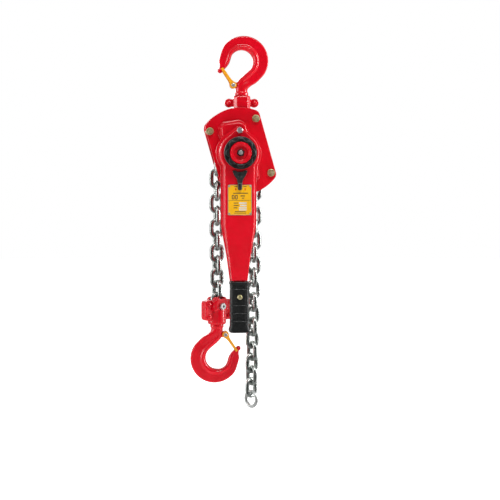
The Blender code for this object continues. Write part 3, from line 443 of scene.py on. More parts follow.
class Places:
    """Matrices from a group's own millimetres to the frame of the CAD model, in metres."""

    scale = Matrix.Scale(MM, 4)
    top_hook = scale @ Matrix.Translation((0, 0, -HOOK_SEAT))
    shaft = scale @ Matrix.Translation(SHAFT)
    selector = shaft @ Matrix.Translation((0, 0, -SELECTOR_DROP))
    load = shaft @ Matrix.Translation((-CHAIN_RADIUS, 0, 0))
    slack = shaft @ Matrix.Translation((CHAIN_RADIUS, 0, 0))
    block = load @ Matrix.Translation((0, 0, BLOCK_BOLT)) @ Matrix.Rotation(radians(BLOCK_YAW), 4, "Z")
    load_hook = load @ Matrix.Translation((0, 0, BLOCK_COLLAR)) @ Matrix.Rotation(pi, 4, "Y")


def piece(name, bm, body, material, replaces=(), place=Places.shaft, crease=38.0):
    """Object from a bmesh in its place's millimetres, riding on a CAD body and standing for CAD nodes."""
    bm.transform(place)
    bmesh.ops.recalc_face_normals(bm, faces=bm.faces)
    mesh = mesh_of(name, bm)
    mesh.shade_smooth()
    mesh.set_sharp_from_angle(angle=radians(crease))
    mesh.materials.append(MATERIALS[material])
    made = linked(name, mesh)
    weighted = made.modifiers.new("weighted_normals", "WEIGHTED_NORMAL")
    weighted.keep_sharp = True
    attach(made, body)
    if replaces:
        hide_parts(*replaces)


# Hooks


def spline(rows, substeps):
    """Smooth curve through rows of numbers."""
    result = []
    for i in range(len(rows) - 1):
        p0, p1, p2, p3 = (rows[max(0, min(len(rows) - 1, i + k))] for k in (-1, 0, 1, 2))
        for step in range(substeps):
            t = step / substeps
            result.append([0.5 * (2 * b + (c - a) * t + (2 * a - 5 * b + 4 * c - d) * t**2 +
                (3 * b - a - 3 * c + d) * t**3) for a, b, c, d in zip(p0, p1, p2, p3)])
    return result + [list(rows[-1])]


def hook_rows():
    """Inner x and z, outer x and z, half thickness of bead and web, and how much of a web there is."""
    rows = [(-13.3, 6.0, 13.3, 6.0, 13.3, 13.3, 0.0), (-13.2, 16.0, 14.2, 14.5, 13.2, 12.6, 0.15),
        (-11.5, 27.5, 21.5, 21.5, 12.8, 10.4, 0.5), (-3.5, 38.5, 31.5, 27.5, 12.3, 8.2, 0.85)]
    for degrees in range(-50, 166, 18):
        angle = radians(degrees)
        slim = max(0.0, (degrees - 90) / 75)
        rows.append((25.5 * cos(angle), 75.7 + 25.5 * sin(angle), 5.3 + 55.3 * cos(angle), 78.3 +
            55.3 * sin(angle), 12.0 - 2.5 * slim, 7.2 - 1.2 * slim, 1.0))
    rows += [(-27.0, 73.0, -50.4, 80.0, 8.6, 5.6, 1.0), (-32.5, 64.5, -49.6, 69.5, 7.4, 5.4, 0.9),
        (-38.0, 58.6, -49.8, 63.0, 6.4, 5.4, 0.5), (-42.5, 54.0, -50.0, 57.4, 4.6, 4.6, 0.0)]
    return rows


def hook_height(across, bead, web, webbed):
    """Half thickness of the hook's section from its inner edge at 0 to its outer edge at 1."""
    round_bar = 2 * math.sqrt(max(0.0, across * (1 - across))) * bead
    if across < 0.24:
        height = bead * math.sqrt(1 - ((0.24 - across) / 0.24) ** 2)
    elif across < 0.41:
        height = web + (bead - web) * (0.5 + 0.5 * cos(pi * (across - 0.24) / 0.17))
    elif across < 0.9:
        height = web * (1 - 0.06 * (across - 0.5))
    else:
        height = 0.976 * web * math.sqrt(max(0.0, 1 - ((across - 0.9) / 0.1) ** 2))
    return round_bar + (height - round_bar) * webbed


def hook_mesh():
    """Forged hook: a bead round its bowl, a thinner web outside it, a ball at its tip and a swivel head."""
    count = 56
    rings = []
    for x0, z0, x1, z1, bead, web, webbed in spline(hook_rows(), 6):
        ring = []
        for i in range(count):
            angle = FULL * (i + 0.5) / count
            across = 0.5 - 0.5 * cos(angle)
            height = math.copysign(hook_height(across, bead, web, webbed), sin(angle))
            ring.append((x0 + (x1 - x0) * across, height, z0 + (z1 - z0) * across))
        rings.append(ring)
    collar = upright(rounded([(11.0, -1.0), (15.2, 0.2), (15.2, 6.0), (13.2, 9.0), (12.0, 12.0)], 1.2, 4,
        False))
    x, z = LATCH_PIVOT
    lug = rounded([(x - 6, z - 5), (x + 14, z - 9), (x + 12, z + 6), (x - 5, z + 6)], 5)
    lug = soft_prism(lug, -5.0, 5.0)
    forged = join(loft(rings), collar, lug, ball(5.7, (-48.4, 0, 55.4)))
    forged = cast(forged, 0.7, 5)
    forged = cut(forged, bore(2.6, x, z, 20, 32))
    stem = [(15.5, -17.0), (15.5, -8.6), (11.0, -8.2), (11.0, 1.0)]
    stem = upright(rounded(stem, 0.6, 3, False))
    return join(forged, stem)


def latch_mesh():
    """Pressed latch: two cheeks and a web on the bowl side, wide round the pin and slim at the tip."""
    reach = math.dist(LATCH_PIVOT, LATCH_TIP)
    turn = math.degrees(math.atan2(LATCH_TIP[1] - LATCH_PIVOT[1], LATCH_TIP[0] - LATCH_PIVOT[0]))
    outline = arc(0, 0, 7.5, 62, 298, 36) + bend((4.6, -6.0), (9.0, -3.4), (17.0, -3.2), 8)
    outline += arc(reach - 3, 0, 2.9, -90, 90, 14) + bend((17.0, 3.2), (9.0, 3.4), (4.6, 6.0), 8)
    cheeks = soft_prism(outline, -10.2, 10.2, 0.7, 4)
    web_end = reach - 8.5
    hollow = [(-12, -12), (12, -12), (12, -1.3), (web_end, -1.3), (web_end, -12), (reach + 5, -12),
        (reach + 5, 12), (-12, 12)]
    cavity = soft_prism(rounded(hollow, [0, 0, 2, 2, 0, 0, 0, 0], 5), -8.7, 8.7, 0.5)
    latch = cut(cheeks, cavity, bore(2.7, reach=20, segments=32))
    return turned_about(latch, "Y", -turn)


def latch_pin_mesh():
    head = [(0.6, 12.4), (2.6, 12.2), (4.0, 11.5), (4.4, 10.7), (4.3, 10.5), (2.3, 10.4)]
    return two_headed(head)


def latch_spring_mesh():
    """Torsion spring round the pin, between the lug and one cheek."""
    steps = 130
    path = []
    for step in range(steps + 1):
        angle = FULL * 2.4 * step / steps
        path.append((3.5 * cos(angle), -5.8 - 2.3 * step / steps, 3.5 * sin(angle)))
    return tube(path, 0.45, 10)


def make_hooks():
    for where, place in (("top", Places.top_hook), ("load", Places.load_hook)):
        pivot = place @ Matrix.Translation((LATCH_PIVOT[0], 0, LATCH_PIVOT[1]))
        body = where + "_hook"
        latch = where + "_latch"
        piece(f"{where}_hook_forging", hook_mesh(), body, "red_paint", [body], place, 60)
        piece(f"{where}_latch_pressing", latch_mesh(), latch, "amber_steel", [latch], pivot)
        piece(f"{where}_latch_rivet", latch_pin_mesh(), latch, "zinc_steel", [latch + "_pin"], pivot)
        piece(f"{where}_latch_coil", latch_spring_mesh(), latch, "zinc_steel", [latch + "_spring"], pivot)


# Chains


def link_mesh():
    """One welded link along Z, its width along X, with the weld's bulge on one side."""
    straight, half_width, wire = 7.0, 12.0, 5.0
    path, radii = [], []
    for x, z in arc(0, straight, half_width, 0, 180, 16) + arc(0, -straight, half_width, 180, 360, 16):
        path.append((x, 0.0, z))
        radii.append(wire)
    for z in (-4.0, -2.4, -1.5, -0.8, 0.0, 0.8, 1.5, 2.4, 4.0):
        path.append((half_width, 0.0, z))
        radii.append(wire * (1 + 0.075 * math.exp(-((z / 1.3) ** 2))))
    return tube(path, radii, 16, True)


def chain_mesh(places):
    links = []
    for place in places:
        bm = link_mesh()
        bm.transform(place)
        links.append(bm)
    return merged(*links)


def hanging_places(count, first_edge_on, twist, lean):
    """Places of the links below the sheave; they lie across it in turn and twist towards the end."""
    places = []
    for number in range(1, count + 1):
        along = (number / count) ** TWIST_EASE
        edge_on = (number % 2 == 1) == first_edge_on
        turn = Matrix.Rotation(radians(twist * along + 90 * edge_on), 4, "Z")
        places.append(Matrix.Translation((-lean * along, 0, -PITCH * number)) @ turn)
    return places


def wrapped_places():
    """Places of the links that lie on the sheave."""
    places = []
    for step in range(1, 5):
        around = Matrix.Rotation(radians(POCKET_ANGLE * step), 4, "Y")
        edge_on = Matrix.Rotation(radians(90 * (step % 2)), 4, "Z")
        places.append(around @ Matrix.Translation((-CHAIN_RADIUS, 0, 0)) @ edge_on)
    return places


def make_chains():
    load = chain_mesh(hanging_places(LOAD_LINKS, True, BLOCK_YAW, 0.0))
    piece("load_strand", load, "load_chain", "zinc_chain", ["load_chain"], Places.load, 60)
    slack = chain_mesh(hanging_places(SLACK_LINKS, False, SLACK_TWIST, SLACK_LEAN))
    piece("slack_strand", slack, "slack_chain", "zinc_chain", ["slack_chain"], Places.slack, 60)
    piece("sheave_strand", chain_mesh(wrapped_places()), "load_sheave", "zinc_chain", ["sheave_chain"],
        crease=60)
    ring = tube(at_depth(circle(STOP_RING_RADIUS), 0), STOP_RING_WIRE, 20, True)
    ring = moved(turned_about(ring, "Z", SLACK_TWIST + 90), -SLACK_LEAN, 0,
        -PITCH * SLACK_LINKS - STOP_RING_DROP)
    piece("slack_end_ring", ring, "slack_chain", "zinc_steel", ["chain_stop_ring"], Places.slack, 60)


# Frame


def plate_point(x, z, centre=PLATE_CENTRE):
    return tuple(PLATE_TURN @ Vector((x, z)) + Vector(centre))


def stay_places():
    signs = ((-1, 1), (1, 1), (1, -1))
    return [plate_point(x * STAY_HALF_WIDTH, z * STAY_HALF_HEIGHT, STAY_CENTRE) for x, z in signs]


def second_gear_places():
    along = PLATE_TURN @ Vector((0, GEAR_REACH))
    return [tuple(along), tuple(-along)]


def make_side_plates():
    corner = math.degrees(math.acos(PLATE_HALF_WIDTH / PLATE_RADIUS))
    right = arc(0, 0, PLATE_RADIUS, corner, 180 - corner, 40)
    left = arc(0, 0, PLATE_RADIUS, 180 + corner, 360 - corner, 40)
    corners = [right[0], right[-1], left[0], left[-1]]
    outline = [plate_point(x, z) for x, z in blended(right + left, corners, 7.0, 10)]
    for side, sign, pin_end in (("front", -1, -25.6), ("rear", 1, PLATE_OUTER)):
        y0, y1 = sign * PLATE_INNER, sign * PLATE_OUTER
        holes = [drill(19.5, y0, y1, segments=64), drill(HOOK_PIN_BORE, y0, pin_end, -SHAFT[0],
            YOKE_PIN_HEIGHT, 0.1)]
        holes += [drill(5.4, y0, y1, x, z, 0.4) for x, z in stay_places()]
        if side == "rear":
            holes += [drill(6.4, y0, y1, x, z, 0.4) for x, z in second_gear_places()]
        plate = cut(soft_prism(outline, y0, y1, 0.9, 4), *holes)
        piece(f"{side}_plate_sheet", plate, "frame", "red_paint", [f"{side}_side_plate"])


def hex_body(across_flats, seat, face, x=0.0, z=0.0, phase=0.0):
    """Hexagon along Y from its seat to its outer face, whose corners have a nut's round chamfer."""
    radius = across_flats / 2 / cos(pi / 6)
    corners = [phase + FULL * i / 6 for i in range(6)]
    outline = [(x + radius * cos(a), z + radius * sin(a)) for a in corners]
    body = soft_prism(outline, seat, face, 0.15, 2)
    inward = 1 if seat > face else -1
    wide = radius + 0.4
    profile = [(across_flats * 0.47, face - inward * 0.02), (wide, face + inward * 1.5),
        (wide, seat + inward * 0.5)]
    return combine(body, "INTERSECT", turned(profile, x, z))


def threaded(radius, y0, y1, x, z, pitch=1.25, tip=0.8):
    """End of a bolt with thread grooves, its tip at y1."""
    way = 1 if y1 > y0 else -1
    length = abs(y1 - y0)
    profile = [(radius - 0.1, y0)]
    count = int((length - tip) / pitch)
    for turn in range(count):
        start = y0 + way * turn * pitch
        profile += [(radius, start + way * 0.25), (radius, start + way * 0.55),
            (radius - 0.65, start + way * 0.9)]
    profile += [(radius, y1 - way * tip), (radius - tip * 0.8, y1)]
    return turned(profile, x, z, 40)


def make_stays():
    for number, (x, z) in enumerate(stay_places(), 1):
        shank = turned(rounded([(5.0, -30.0), (5.0, -22.65), (7.0, -22.65), (7.0, 22.65), (5.0, 22.65),
            (5.0, 29.0)], 0.3, 2, False), x, z, 48)
        bolt = join(shank, hex_body(STAY_WIDTH_OVER_FLATS, 27.35, 33.5, x, z, 0.3),
            threaded(5.0, -29.0, -36.0, x, z))
        piece(f"stay_{number}_screw", bolt, "frame", "yellow_zinc", [f"stay_bolt_{number}"])
        nut = hex_body(STAY_WIDTH_OVER_FLATS, -29.0, -34.5, x, z, 0.2 + 0.4 * number)
        washer = turned_ring(rounded([(4.8, -29.2), (8.6, -29.2), (8.6, -27.35), (4.8, -27.35)], 0.3, 2), x,
            z, 48)
        nut = join(nut, washer)
        nut = cut(nut, turned([(6.4, -35.5), (5.3, -33.6), (5.3, -26.0)], x, z, 48))
        piece(f"stay_{number}_hex_nut", nut, "frame", "yellow_zinc", [f"stay_nut_{number}"])


def stadium(half_width):
    """Outline of the gear cover round the two second-stage gears."""
    ends = arc(0, GEAR_REACH, half_width, 0, 180, 28) + arc(0, -GEAR_REACH, half_width, 180, 360, 28)
    turn = PLATE_TURN
    return [tuple(turn @ Vector(point)) for point in ends]


def make_gear_cover():
    """Deep-drawn cover with a flange against the rear plate and a flat back."""
    outer = [(35.5, 65.0), (35.5, 27.35), (42.0, 27.35), (42.0, 30.2), (39.6, 30.8), (38.4, 62.0),
        (34.5, 68.0)]
    radii = [1.5, 0.3, 0.5, 0.9, 2.0, 6.5, 0]
    levels = rounded(outer, radii, 6, False) + [(33.0, 68.0)]
    shell = loft([at_depth(stadium(r), y) for r, y in levels])
    sockets = []
    for x, z in second_gear_places():
        boss, hole = turned([(10, 58.5), (10, 66.0)], x, z), turned([(6.5, 57), (6.5, 64.8)], x, z)
        sockets.append(cut(boss, hole))
    cover = join(shell, *sockets)
    piece("gear_cover_shell", cover, "frame", "red_paint", ["gear_cover"])


COVER_CORNERS = (
    ((-42.5, 57.0), 6), ((-41.0, 39.0), 6), ((-36.6, 27.4), 6), ((-43.8, 9.7), 8), ((-43.8, -12.6), 8),
    ((-37.0, -36.0), 10), ((-33.0, -60.0), 8), ((52.0, -60.5), 6), ((49.2, -31.8), 10), ((56.7, 2.2), 14),
    ((41.9, 31.8), 12), ((27.1, 46.6), 10), ((18.2, 68.7), 8), ((3.4, 74.7), 12), ((-33.5, 68.7), 8),
)


def cover_outline(depth):
    corners = inset([corner for corner, _ in COVER_CORNERS], depth)
    return rounded(corners, [radius * 1.5 for _, radius in COVER_CORNERS], 8)


def make_brake_cover():
    """Pressed cover with a narrow flange and soft shoulders that follow the brake and its pawl."""
    levels = [(3.5, -59.0), (2.5, -57.5), (2.5, -27.35), (0.0, -27.35), (0.0, -30.4), (0.5, -31.0),
        (2.4, -31.5), (2.9, -32.6), (3.4, -50.0), (3.8, -54.5), (4.7, -57.9), (6.1, -60.2), (7.9, -61.3),
        (10.0, -61.5)]
    shell = loft([at_depth(cover_outline(depth), y) for depth, y in levels])
    cover = cut(shell, drill(24.0, -61.5, -58.0, flare=0.8))
    piece("brake_cover_shell", cover, "frame", "red_paint", ["brake_cover"])


def make_chain_guide():
    outline = rounded([(-23, -56), (-17, -80), (17, -80), (23, -56), (4, -52), (4, -33), (-4, -33),
        (-4, -52)], [3, 6, 6, 3, 2, 1.5, 1.5, 2])
    foot = rounded([(-23, -56), (-17, -80), (17, -80), (23, -56)], [3, 6, 6, 3])
    guide = join(soft_prism(outline, -4.2, 4.2), soft_prism(foot, -22.65, 22.65, 1.0))
    piece("chain_guide_block", guide, "frame", "dark_steel", ["chain_guide"])


def make_sheave():
    profile = [(9.6, -26.5), (12.0, -26.5), (12.0, -21.2), (49.0, -21.0), (48.0, -17.6), (37.4, -17.0),
        (36.6, -6.4), (25.4, -5.9), (25.4, 5.9), (36.6, 6.4), (37.4, 17.0), (48.0, 17.6), (49.0, 21.0),
        (12.0, 21.2), (12.0, 42.5), (9.6, 42.5)]
    sheave = turned_ring(rounded(profile, [0.3, 0.4, 0, 1.2, 1.6, 3, 1.2, 2, 2, 1.2, 3, 1.6, 1.2, 0, 0.4,
        0.3], 4))
    piece("chain_sheave", sheave, "load_sheave", "dark_steel", ["load_sheave"])


def make_yoke():
    """Two halves of the top yoke with octagonal flanks and riveted ears, one in front and one behind."""
    pin = YOKE_PIN_HEIGHT - COLLAR_OVER_SHAFT
    ear = YOKE_EAR_HEIGHT - COLLAR_OVER_SHAFT
    stop_x = stay_places()[1][0] + SHAFT[0]
    stop_z = pin + stay_places()[1][1] - YOKE_PIN_HEIGHT + 7.35
    for side_name, side in (("front", -1), ("rear", 1)):
        near, far, across = side * 0.15, side * 40, side * -4
        flanks = [(1, -0.6), (1, 0.6), (0.6, 1), (-0.6, 1), (-1, 0.6), (-1, -0.6), (-0.6, -1), (0.6, -1)]
        levels = ((16.4, -0.4), (18.2, -2.2), (19.0, -4.5), (19.0, pin - 18.0))
        body = loft([[(x * half, y * half, z) for x, y in rounded(flanks, 0.05, 4)] for half, z in levels])
        foot = arc(0, pin, 14.5, 180, 360, 24)
        profile = foot + [(19.5, pin + 5.5), (60, pin + 5.5), (60, 20), (-60, 20), (-60, pin + 18),
            (-19.5, pin + 13)]
        keep = slab(profile, near, far)
        lobes = []
        for sign in (-1, 1):
            outline = arc(sign * YOKE_EAR_REACH, ear, 9.8, 0, 360, 47)[:-1]
            lobes.append(soft_prism(outline, across, side * 6.5, 1.6, 4))
        bar = rectangle(-YOKE_EAR_REACH, YOKE_EAR_REACH, ear - 8.0, ear + 8.6)
        lobes.append(soft_prism(bar, across, side * 6.3, 1.2, 4))
        stop = rectangle(10, stop_x + 3, stop_z, stop_z + 9)
        lobes.append(soft_prism(rounded(stop, [0, 1.5, 3, 0]), across, side * 14, 1.2, 4))
        half = join(body, *lobes)
        half = cast(combine(half, "INTERSECT", keep), 0.6, 3)
        trim = slab(rectangle(-60, 60, -90, 20), near, far)
        cavity = upright([(11.4, 4), (11.4, -8.0), (16.0, -8.1), (16.0, -17.6), (9.0, -20.0)], 48)
        bores = [bore(HOOK_PIN_BORE, 0, pin)]
        bores += [bore(RIVET_BORE, x, ear, segments=32) for x in (YOKE_EAR_REACH, -YOKE_EAR_REACH)]
        half = combine(half, "INTERSECT", trim)
        half = cut(half, cavity, *bores)
        piece(f"yoke_{side_name}_half", half, "top_yoke", "red_paint", [f"top_yoke_{side_name}"],
            Places.top_hook, 50)
    for name, x in (("left", -YOKE_EAR_REACH), ("right", YOKE_EAR_REACH)):
        piece(f"yoke_{name}_rivet", rivet_mesh(x, ear, 6.9), "top_yoke", "red_paint",
            [f"top_yoke_rivet_{name}"], Places.top_hook)


def rivet_mesh(x, z, half):
    """Rivet with a domed head on each side, half being the grip's half length."""
    head = [(0.5, half + 3.3), (2.2, half + 3.1), (3.9, half + 2.4), (5.1, half + 1.4), (5.6, half + 0.2),
        (3.4, half)]
    return two_headed(head, x, z)


# Load block


def make_block():
    """Two cast halves round the chain bolt and the hook's head, riveted through their ears."""
    collar = BLOCK_COLLAR - BLOCK_BOLT
    ears = [level - BLOCK_BOLT for level in BLOCK_EAR_LEVELS]
    middle = sum(ears) / 2
    room = rectangle(-60, 60, -80, 60)
    for side_name, side in (("front", -1), ("rear", 1)):
        near, far = side * 0.15, side * 9.0
        outline = rounded(rectangle(-38, 38, ears[1] - 9, ears[0] + 9), 9)
        half = soft_prism(outline, -near * 20, far, 1.4, 4)
        crown = rounded([(-21.0, -12.0), (21.0, -12.0), (20.5, 11.0), (13.0, 21.0), (-13.0, 21.0),
            (-20.5, 11.0)], [6, 6, 7, 6, 6, 7])
        depths = ((0, -3.0), (0, 13.0), (0.7, 15.8), (2.2, 18.0), (4.6, 19.3), (6.0, 19.5))
        dome = loft([at_depth(inset(crown, depth), side * y) for depth, y in depths])
        barrel = upright([(21.0, middle + 2), (21.0, collar + 5), (20.2, collar + 2.0),
            (18.6, collar + 0.4)])
        half = join(half, dome, barrel)
        half = cast(combine(half, "INTERSECT", slab(room, near, side * 60)), 0.6, 4)
        half = combine(half, "INTERSECT", slab(room, near, side * 60))
        head = upright([(11.5, collar - 4), (11.5, collar + 8.0), (16.0, collar + 8.1),
            (16.0, collar + 17.7), (9, collar + 20)])
        slot = rounded(rectangle(-18.5, 18.5, -17, 40), [13, 13, 0, 0], 8)
        throat = slab(rectangle(-8, 8, 14, 40), -19, 19)
        bores = [bore(RIVET_BORE, sign * BLOCK_EAR_X, z, segments=32) for sign in (-1, 1) for z in ears]
        half = cut(half, head, slab(slot, -6, 6), throat, bore(5.9), *bores)
        piece(f"block_{side_name}_casting", half, "load_chain", "red_paint", [f"block_{side_name}"],
            Places.block, 50)
    number = 0
    for z in ears:
        for sign in (-1, 1):
            number += 1
            piece(f"block_ear_rivet_{number}", rivet_mesh(sign * BLOCK_EAR_X, z, 9.4), "load_chain",
                "red_paint", [f"block_rivet_{number}"], Places.block)
    shank = turned([(5.5, -21.0), (5.5, 23.0)])
    bolt = join(shank, hex_body(13.5, -19.9, -25.5, 0, 0, 0.25), hex_body(13.5, 19.9, 23.5, 0, 0, 0.4))
    socket = soft_prism(circle(3.5, 6), -27.0, -22.0, 0.05, 1)
    bolt = cut(bolt, socket)
    piece("block_bolt", bolt, "load_chain", "zinc_steel", ["chain_bolt"], Places.block)


# Lever


def lever_outline(depth, lobe=9.6):
    """Outline of the lever down to the grip, depth millimetres inside its flange."""
    hub = 49.8 - depth
    arm = 39.4 - 0.9 * depth
    knee = 27.0 - 0.45 * depth
    end = 19.5 - 0.3 * depth
    small = lobe - 0.35 * depth
    low = -math.degrees(math.acos(arm / hub))
    leave, meet = radians(45), radians(58)
    start = Vector((small * cos(leave), LOBE_HEIGHT + small * sin(leave)))
    finish = Vector((hub * cos(meet), hub * sin(meet)))
    way_out = Vector((sin(leave), -cos(leave)))
    way_in = Vector((sin(meet), -cos(meet)))
    gap = finish - start
    reach = (gap.x * way_in.y - gap.y * way_in.x) / (way_out.x * way_in.y - way_out.y * way_in.x)
    corner = start + way_out * reach
    right = arc(0, LOBE_HEIGHT, small, 90, 45, 10)[:-1] + bend(start, corner, finish, 10)[:-1]
    right += arc(0, 0, hub, 58, low, 34)
    straight = [(arm, -60.0), (arm, -160.0), (knee, -226.0), (end, GRIP_TOP - 1.5 + 0.35 * depth)]
    right += rounded([right[-1]] + straight, [0, 30, 70, 70, 0], 10, False)[1:]
    left = [(-x, z) for x, z in reversed(right[1:])]
    return [(x, z) for x, z in reversed(right + left)]


def make_lever():
    front, seam = LEVER_FRONT, LEVER_SEAM
    levels = [(13.5, front + 3.0), (7.0, seam - 3.5), (7.0, seam), (0.25, seam), (0.0, seam - 0.3),
        (0.0, seam - 2.2), (0.3, seam - 2.7), (0.9, seam - 2.95), (3.0, seam - 3.1), (4.0, seam - 3.5),
        (4.5, seam - 4.4), (6.1, front + 7.0), (6.6, front + 4.4), (7.3, front + 2.4), (8.3, front + 0.9),
        (9.5, front + 0.2), (11.0, front)]
    shell = loft([at_depth(lever_outline(d), y) for d, y in levels])
    tongue = soft_prism(rectangle(-13.0, 13.0, -387, -268), -90.5, -73.5, 1.5)
    shell = join(shell, tongue)
    shell = cut(shell, drill(17.0, front, front + 3, flare=0.8),
        drill(5.5, front, front + 3, 0, -SELECTOR_DROP, 0.4), drill(4.5, front, seam, 0, LOBE_HEIGHT, 0.4))
    piece("lever_front_pressing", shell, "lever", "red_paint", ["lever_front"])
    back = soft_prism(lever_outline(0.0), seam + 0.35, LEVER_BACK, 0.7, 3)
    back = cut(back, drill(24.0, seam + 0.35, LEVER_BACK, segments=64),
        drill(4.5, seam + 0.35, LEVER_BACK, 0, LOBE_HEIGHT, 0.4))
    piece("lever_rear_pressing", back, "lever", "red_paint", ["lever_rear"])
    shank = turned([(4.0, front - 2), (4.0, LEVER_BACK + 1.4), (3.2, LEVER_BACK + 2.2)], 0, LOBE_HEIGHT, 40)
    bolt = join(shank, hex_body(12.0, front - 0.35, front - 5.5, 0, LOBE_HEIGHT, 0.26))
    piece("lever_clamp_bolt", bolt, "lever", "zinc_steel", ["lever_bolt"])


def grip_section(half_x, half_y, z, ribs):
    """Ring of the grip: a rounded rectangle with fine grooves down its front and back."""
    ring = []
    count = 200
    for i in range(count):
        angle = FULL * (i + 0.5) / count
        x = math.copysign(abs(cos(angle)) ** 0.45, cos(angle)) * half_x
        y = math.copysign(abs(sin(angle)) ** 0.45, sin(angle)) * half_y
        if abs(y) > 0.8 * half_y and abs(x) < 0.8 * half_x:
            wave = 0.5 + 0.5 * cos(FULL * x / 3.4)
            y -= math.copysign(ribs * wave**3, y)
        ring.append((x, GRIP_CENTRE_Y + y, z))
    return ring


def make_grip():
    """Rubber sleeve with a rim at its top, cross grooves, fine ribs and a flared foot."""
    outer = [(21.0, 18.2, GRIP_TOP - 1.9, 0), (21.8, 19.0, GRIP_TOP - 3.0, 0),
        (21.8, 19.0, GRIP_TOP - 6.4, 0), (21.2, 18.5, GRIP_TOP - 7.6, 0), (20.6, 18.0, GRIP_TOP - 8.6, 0),
        (20.6, 18.0, GRIP_TOP - 10.0, 0.5)]
    grooves = [-298.0, -334.0, -351.5, -369.0]
    for z in grooves:
        for offset, sink in zip((1.3, 0.8, 0.4, 0, -0.4, -0.8, -1.3), (0, 0.1, 0.6, 0.8, 0.6, 0.1, 0)):
            outer.append((20.6 - sink, 18.0 - sink, z + offset, 0.5 * (sink < 0.3)))
    outer += [(20.6, 18.0, -379.5, 0.5), (20.6, 18.0, -381.0, 0), (21.2, 18.1, -383.0, 0),
        (22.6, 18.6, -387.0, 0), (23.0, 18.8, -389.5, 0), (22.8, 18.7, -392.0, 0), (21.6, 17.9, -394.2, 0),
        (19.6, 16.4, GRIP_BOTTOM, 0)]
    inner = [(15.2, 11.0, -389.0, 0), (15.2, 11.0, GRIP_TOP - 2.6, 0), (15.9, 11.7, GRIP_TOP - 1.9, 0)]
    grip = loft([grip_section(*level) for level in inner + outer])
    boss = rounded([(7.4, -96.0), (7.0, -99.6), (6.4, -100.4), (5.0, -100.4)], 0.5, 3, False)
    boss = turned(boss, 0, GRIP_SCREW_Z, 48)
    hole = turned([(3.0, -110), (3.0, -88)], 0, GRIP_SCREW_Z, 40)
    grip = cut(join(grip, boss), hole)
    piece("grip_sleeve", grip, "lever", "black_rubber", ["grip"])
    screw = rounded([(2.4, -92.6), (2.4, -100.5), (5.5, -100.5), (5.5, -101.8), (4.2, -103.2)], 0.4, 3,
        False)
    screw = turned(screw, 0, GRIP_SCREW_Z, 48)
    blades = [soft_prism(rectangle(-2.6, 2.6, -0.5, 0.5), -105, -101.9, 0.05, 1) for _ in range(2)]
    slots = [moved(turned_about(blade, "Y", a), 0, 0, GRIP_SCREW_Z) for blade, a in zip(blades, (20, 110))]
    piece("grip_lock_screw", cut(screw, *slots), "lever", "yellow_zinc", ["grip_screw"])


def make_name_plate():
    """Thin metal plate with a yellow field, arrows for the two directions and plain bars."""
    low, high, half = -136.0, -69.3, 26.4
    face = LEVER_FRONT - 0.9
    plate = soft_prism(rounded(rectangle(-half, half, low, high), 2.5), face, LEVER_FRONT - 0.35, 0.12, 2)
    piece("rating_plate", plate, "lever", "zinc_steel", ["name_plate"])
    corners = rounded(rectangle(-half + 1.1, half - 1.1, low + 1.1, high - 1.1), 1.8)
    field = soft_prism(corners, face - 0.12, face + 0.05, 0.04, 1)
    piece("rating_plate_field", field, "lever", "yellow_plate")
    heads = []
    for x in (-23.0, 23.0):
        for z in (low + 3.6, high - 3.6):
            levels = [(2.0, 0), (2.0, 0.25), (1.7, 0.38), (0.8, 0.44), (0.3, 0.45)]
            heads.append(turned([(r, face - y) for r, y in levels], x, z, 32))
    piece("rating_plate_pins", merged(*heads), "lever", "zinc_steel")
    top, under = face - 0.2, face - 0.02

    def printed(outline):
        return soft_prism(outline, top, under, 0.03, 1)

    bars = [(-25, 25, -103.8, -103.1), (-12.5, -5.5, -73.9, -72.4), (8.2, 14.6, -73.9, -72.4),
        (-14.5, 18.0, -88.8, -86.9), (1.5, 11.5, -94.8, -92.8), (4.6, 9.2, -99.6, -98.0),
        (-13.5, -4.0, -110.2, -108.6), (-13.5, -2.6, -115.4, -113.8), (-13.5, -5.4, -120.6, -119.0),
        (-11.0, 12.5, -128.4, -127.0), (-13.0, 14.0, -132.0, -130.6)]
    dark = [printed(rectangle(*bar)) for bar in bars]
    for x in (-14.6, -7.4):
        ring = rounded(rectangle(x - 2.9, x + 2.9, -101.4, -91.6), 2.8, 5)
        hollow = rounded(rectangle(x - 1.3, x + 1.3, -99.7, -93.3), 1.2, 5)
        dark.append(cut(printed(ring), soft_prism(hollow, top - 1, under + 1, 0.03, 1)))
    piece("rating_plate_bars", merged(*dark), "lever", "print_black")
    fields = [(-1.8, 14.8, -111.0, -107.8), (0.6, 14.8, -116.2, -113.0), (-1.8, 14.8, -121.4, -118.2),
        (-1.8, 14.8, -125.4, -122.6)]
    white = [printed(rectangle(*bar)) for bar in fields]
    piece("rating_plate_fields", merged(*white), "lever", "print_white")
    arrows = []
    for x, way in ((-9.0, -1), (11.6, 1)):
        z = -79.2
        arrow = [(-0.9, -2.9), (0.9, -2.9), (0.9, 0.0), (2.3, 0.0), (0.0, 3.0), (-2.3, 0.0), (-0.9, 0.0)]
        arrows.append(printed([(x + way * px, z + way * pz) for px, pz in arrow]))
    piece("rating_plate_arrows", merged(*arrows), "lever", "red_paint")


